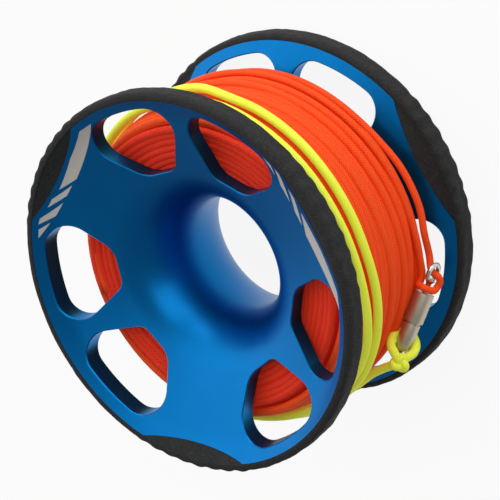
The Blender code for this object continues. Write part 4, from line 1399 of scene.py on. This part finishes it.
class SPOOL_OT_keeper(bpy.types.Operator):
    """Make the keeper cord with its loop and knot"""

    bl_idname = "finger_spool.keeper"
    bl_label = "Keeper Cord"

    def execute(self, context):
        snap = snap_frame()
        back = math.radians(SNAP_BACK_DEG)
        front = Vector((-math.cos(back), -math.sin(back), 0))
        left = Vector((0, 0, 1)).cross(front)
        along = Vector((0, 0, 1))
        knot = snap @ (KNOT_FRONT * front + KNOT_LEFT * left + KNOT_S * along)

        def in_knot(place):
            """The point inside the knot that a cord from a place ends at."""
            return knot + CORD_END_R * (place - knot).normalized()

        loop = loop_points(snap, left, front, along)
        loop = smooth_route([in_knot(loop[0])] + loop + [in_knot(loop[-1])], LOOP_FINE_STEP)
        tie = knot_points(snap, knot, left, front, along)
        turns = cord_over(KEEPER_ROUTE, KEEPER_R, KEEPER_STEP)
        turns = smooth_route([in_knot(turns[0])] + turns, KEEPER_FINE_STEP, KEEPER_BEND_DEG)
        for name, route, radius, node in (
            ("keeper_eyelet", loop, KEEPER_R, "keeper_loop"),
            ("keeper_tie", tie, KNOT_CORD_R, "keeper_knot"),
            ("keeper_turns", turns, KEEPER_R, "keeper_cord"),
        ):
            obj = cord_object(name, route, radius, CORD_ROUNDNESS, MATERIALS["cord"])
            finish(obj, "spool", "yellow_cord", node)
        return {"FINISHED"}


def turned_object(name, profile, steps, place, material):
    """A piece that is a turned part of the snap."""
    obj = new_object(name, spun(name, profile, steps, place), material)
    shade_round(obj.data)
    return obj


def sleeve_profile():
    """Section of the sleeve, from the hole in its cap out to the mouth and back up its bore."""
    hole = SHANK_R + SEAT_GAP / 2
    corners = [
        (hole, CAP_TOP_S + CAP_T),
        (hole, CAP_TOP_S),
        (SLEEVE_R, CAP_TOP_S),
        (SLEEVE_R, MOUTH_S),
        (SLEEVE_BORE_R, MOUTH_S),
        (SLEEVE_BORE_R, CAP_TOP_S + CAP_T),
    ]
    return rounded(corners, SLEEVE_ROUND)


def hook_route(place):
    """The hook's arm, from its foot on the sleeve round to the crown over the bolt."""
    back = math.radians(SNAP_BACK_DEG)
    points = []
    for out_share, along_share in ARM_ROUTE_SHARES:
        out = ARM_FOOT_OUT + out_share * (ARM_REACH - ARM_FOOT_OUT)
        s = ARM_FOOT_S + along_share * (CROWN_S - ARM_FOOT_S)
        points.append(place @ Vector((out * math.cos(back), out * math.sin(back), s)))
    return smooth_route(points, ARM_FINE_STEP)


def bolt_profile():
    """Section of the bolt, from its nose to its top, with a fine groove at the sleeve's mouth."""
    nose_r = NOSE_R + BOLT_GROOVE
    bolt_r = SLEEVE_BORE_R - BOLT_GROOVE / 4
    corners = [
        (0, NOSE_END_S),
        (NOSE_FACE_SHARE * nose_r, NOSE_END_S),
        (nose_r, NOSE_END_S - NOSE_TIP_LENGTH),
        (bolt_r, NOSE_END_S - NOSE_LENGTH),
        (bolt_r, MOUTH_S + 2 * BOLT_GROOVE),
        (bolt_r - BOLT_GROOVE, MOUTH_S + 2 * BOLT_GROOVE),
        (bolt_r - BOLT_GROOVE, MOUTH_S - BOLT_GROOVE),
        (bolt_r, MOUTH_S - BOLT_GROOVE),
        (bolt_r, BOLT_TOP_S),
        (0, BOLT_TOP_S),
    ]
    return rounded(corners, BOLT_ROUND)


def shank_profile():
    """Section of the eye's shank, from its head inside the sleeve to its foot on the eye."""
    foot_s = EYE_MAJOR_R - EYE_WIRE_R / 2
    corners = [
        (0, CAP_SEAT_S + EYE_HEAD_T),
        (EYE_HEAD_R, CAP_SEAT_S + EYE_HEAD_T),
        (EYE_HEAD_R, CAP_SEAT_S),
        (SHANK_R, CAP_SEAT_S),
        (SHANK_R, EYE_MAJOR_R + EYE_WIRE_R),
        (2 * SHANK_R, foot_s),
        (0, foot_s),
    ]
    return rounded(corners, SHANK_ROUND)


def eye_mesh(steps, place):
    """The ring of the eye, which stands square to the snap's X axis."""
    shape = bmesh.new()
    bmesh.ops.create_circle(
        shape,
        segments=EYE_WIRE_SPANS,
        radius=EYE_WIRE_R,
        matrix=Matrix.Translation((EYE_MAJOR_R, 0, 0)) @ Matrix.Rotation(math.pi / 2, 4, "X"),
    )
    full_spin(shape, shape.verts[:] + shape.edges[:], steps)
    settle_order(shape)
    bmesh.ops.recalc_face_normals(shape, faces=shape.faces)
    shape.transform(place @ Matrix.Rotation(math.pi / 2, 4, "Y"))
    return mesh_from(shape, "snap_ring")


def add_spring(place):
    """The coil between the sleeve's cap and the bolt."""
    low, high = CAP_SEAT_S, BOLT_TOP_S - SEAT_GAP
    coil_r = SLEEVE_BORE_R - SEAT_GAP - SPRING_WIRE_R
    stub = 2 * SPRING_WIRE_R
    count = SPRING_COILS * COIL_POINTS
    points = [Vector((coil_r, 0, low))]
    for k in range(count + 1):
        angle = k * FULL_TURN / COIL_POINTS
        s = low + stub + (high - low - 2 * stub) * k / count
        points.append(Vector((coil_r * math.cos(angle), coil_r * math.sin(angle), s)))
    points.append(Vector((points[-1].x, points[-1].y, high)))
    route = [place @ point for point in points]
    coil = cord_object("snap_coil", route, SPRING_WIRE_R, COIL_ROUNDNESS, MATERIALS["bright_steel"])
    finish(coil, "snap_sleeve", "bright_steel", "snap_spring")
    tuple(route[0])
    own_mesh(coil)


class SPOOL_OT_snap(bpy.types.Operator):
    """Make the snap: its eye, sleeve with hook, and bolt"""

    bl_idname = "finger_spool.snap"
    bl_label = "Snap"

    def execute(self, context):
        steps = context.scene.finger_spool.snap.steps
        place = snap_frame()
        pale, bright = MATERIALS["pale_steel"], MATERIALS["bright_steel"]
        barrel = turned_object("snap_barrel", sleeve_profile(), steps, place, pale)
        finish(barrel, "snap_sleeve", "satin_steel", "snap_body")
        arm = cord_object("snap_hook", hook_route(place), ARM_R, ARM_ROUNDNESS, pale)
        finish(arm, "snap_sleeve", "satin_steel")
        plunger = turned_object("snap_plunger", bolt_profile(), steps, place, pale)
        finish(plunger, "bolt", "satin_steel", "snap_bolt")
        ring = new_object("snap_ring", eye_mesh(steps, place), bright)
        shade_round(ring.data)
        finish(ring, "spool", "bright_steel", "snap_eye")
        shank = turned_object("snap_shank", shank_profile(), steps, place, bright)
        finish(shank, "spool", "bright_steel")
        add_spring(place)
        return {"FINISHED"}


def from_middle(shift):
    """A place by its shifts to the camera's right, up and back from the spool's middle."""
    place = Vector((0, 0, HALF_WIDTH))
    for distance, axis in zip(shift, (CAMERA_RIGHT, CAMERA_UP, CAMERA_BACK)):
        place += distance * Vector(axis)
    return place


def add_area_light(name, shift, size, power):
    """A square light that faces the spool's middle."""
    light = bpy.data.lights.new(name, "AREA")
    light.shape = "SQUARE"
    light.size = size
    light.energy = power
    obj = bpy.data.objects.new(name, light)
    obj.location = from_middle(shift)
    towards = Vector((0, 0, HALF_WIDTH)) - from_middle(shift)
    obj.rotation_euler = towards.to_track_quat("-Z", "Y").to_euler()
    bpy.context.scene.collection.objects.link(obj)


def add_camera(scene):
    """The photograph's camera."""
    lens = bpy.data.cameras.new("camera")
    lens.sensor_width = SENSOR_MM
    lens.sensor_fit = "HORIZONTAL"
    lens.lens = CAMERA_LENS_MM
    lens.clip_start = CLIP_START
    lens.clip_end = CLIP_END
    camera = bpy.data.objects.new("camera", lens)
    turn = Matrix((CAMERA_RIGHT, CAMERA_UP, CAMERA_BACK)).transposed().to_4x4()
    camera.matrix_world = Matrix.Translation(CAMERA_PLACE) @ turn
    scene.collection.objects.link(camera)
    scene.camera = camera


def studio_world(name):
    """Soft light from all round, brighter on one side."""
    world = bpy.data.worlds.new(name)
    world.use_nodes = True
    tree = world.node_tree
    place = tree.nodes.new("ShaderNodeTexCoord")
    facing = tree.nodes.new("ShaderNodeVectorMath")
    facing.operation = "DOT_PRODUCT"
    facing.inputs[1].default_value = Vector(SKY_BRIGHT_SIDE).normalized()
    tree.links.new(place.outputs["Generated"], facing.inputs[0])
    ramp = tree.nodes.new("ShaderNodeMapRange")
    ramp.interpolation_type = "SMOOTHSTEP"
    tree.links.new(facing.outputs["Value"], ramp.inputs["Value"])
    set_values(ramp, From_Min=SKY_EDGES[0], From_Max=SKY_EDGES[1], To_Min=SKY_DARK, To_Max=SKY_BRIGHT)
    tree.links.new(ramp.outputs["Result"], tree.nodes["Background"].inputs["Strength"])
    set_values(tree.nodes["Background"], Color=WHITE)
    return world


class SPOOL_OT_stage(bpy.types.Operator):
    """Make the floor, the lights, the world and the camera"""

    bl_idname = "finger_spool.stage"
    bl_label = "Stage"

    def execute(self, context):
        settings = context.scene.finger_spool.stage
        scene = context.scene
        shape = bmesh.new()
        bmesh.ops.create_grid(shape, x_segments=1, y_segments=1, size=settings.floor_size / 2)
        floor = new_object("floor", mesh_from(shape, "floor"), MATERIALS["floor"])
        add_camera(scene)
        add_area_light("key", KEY_SHIFT, KEY_SIZE, settings.key_power)
        add_area_light("fill", FILL_SHIFT, FILL_SIZE, settings.fill_power)
        scene.world = studio_world("studio")
        scene.view_settings.view_transform = "Standard"
        return {"FINISHED"}


class SpoolSettings(bpy.types.PropertyGroup):
    body: PointerProperty(type=BodySettings)
    grip: PointerProperty(type=GripSettings)
    line: PointerProperty(type=LineSettings)
    snap: PointerProperty(type=SnapSettings)
    stage: PointerProperty(type=StageSettings)


class SPOOL_PT_panel(bpy.types.Panel):
    """Finger spool"""

    bl_idname = "SPOOL_PT_panel"
    bl_label = "Finger Spool"
    bl_space_type = "VIEW_3D"
    bl_region_type = "UI"
    bl_category = "Finger Spool"

    def draw(self, context):
        for operator in OPERATORS:
            self.layout.operator(operator.bl_idname)


OPERATORS = (
    SPOOL_OT_materials,
    SPOOL_OT_stage,
    SPOOL_OT_line,
    SPOOL_OT_keeper,
    SPOOL_OT_body,
    SPOOL_OT_grips,
    SPOOL_OT_snap,
)
CLASSES = (
    BodySettings,
    GripSettings,
    LineSettings,
    SnapSettings,
    StageSettings,
    SpoolSettings,
    *OPERATORS,
    SPOOL_PT_panel,
)


def register():
    for cls in CLASSES:
        bpy.utils.register_class(cls)
    bpy.types.Scene.finger_spool = PointerProperty(type=SpoolSettings)


def unregister():
    del bpy.types.Scene.finger_spool
    for cls in reversed(CLASSES):
        bpy.utils.unregister_class(cls)


def main():
    register()
    bpy.ops.finger_spool.materials()
    bpy.ops.finger_spool.stage()
    bpy.ops.finger_spool.line()
    bpy.ops.finger_spool.keeper()
    bpy.ops.finger_spool.body()
    bpy.ops.finger_spool.grips()
    bpy.ops.finger_spool.snap()


if __name__ == "__main__":
    main()
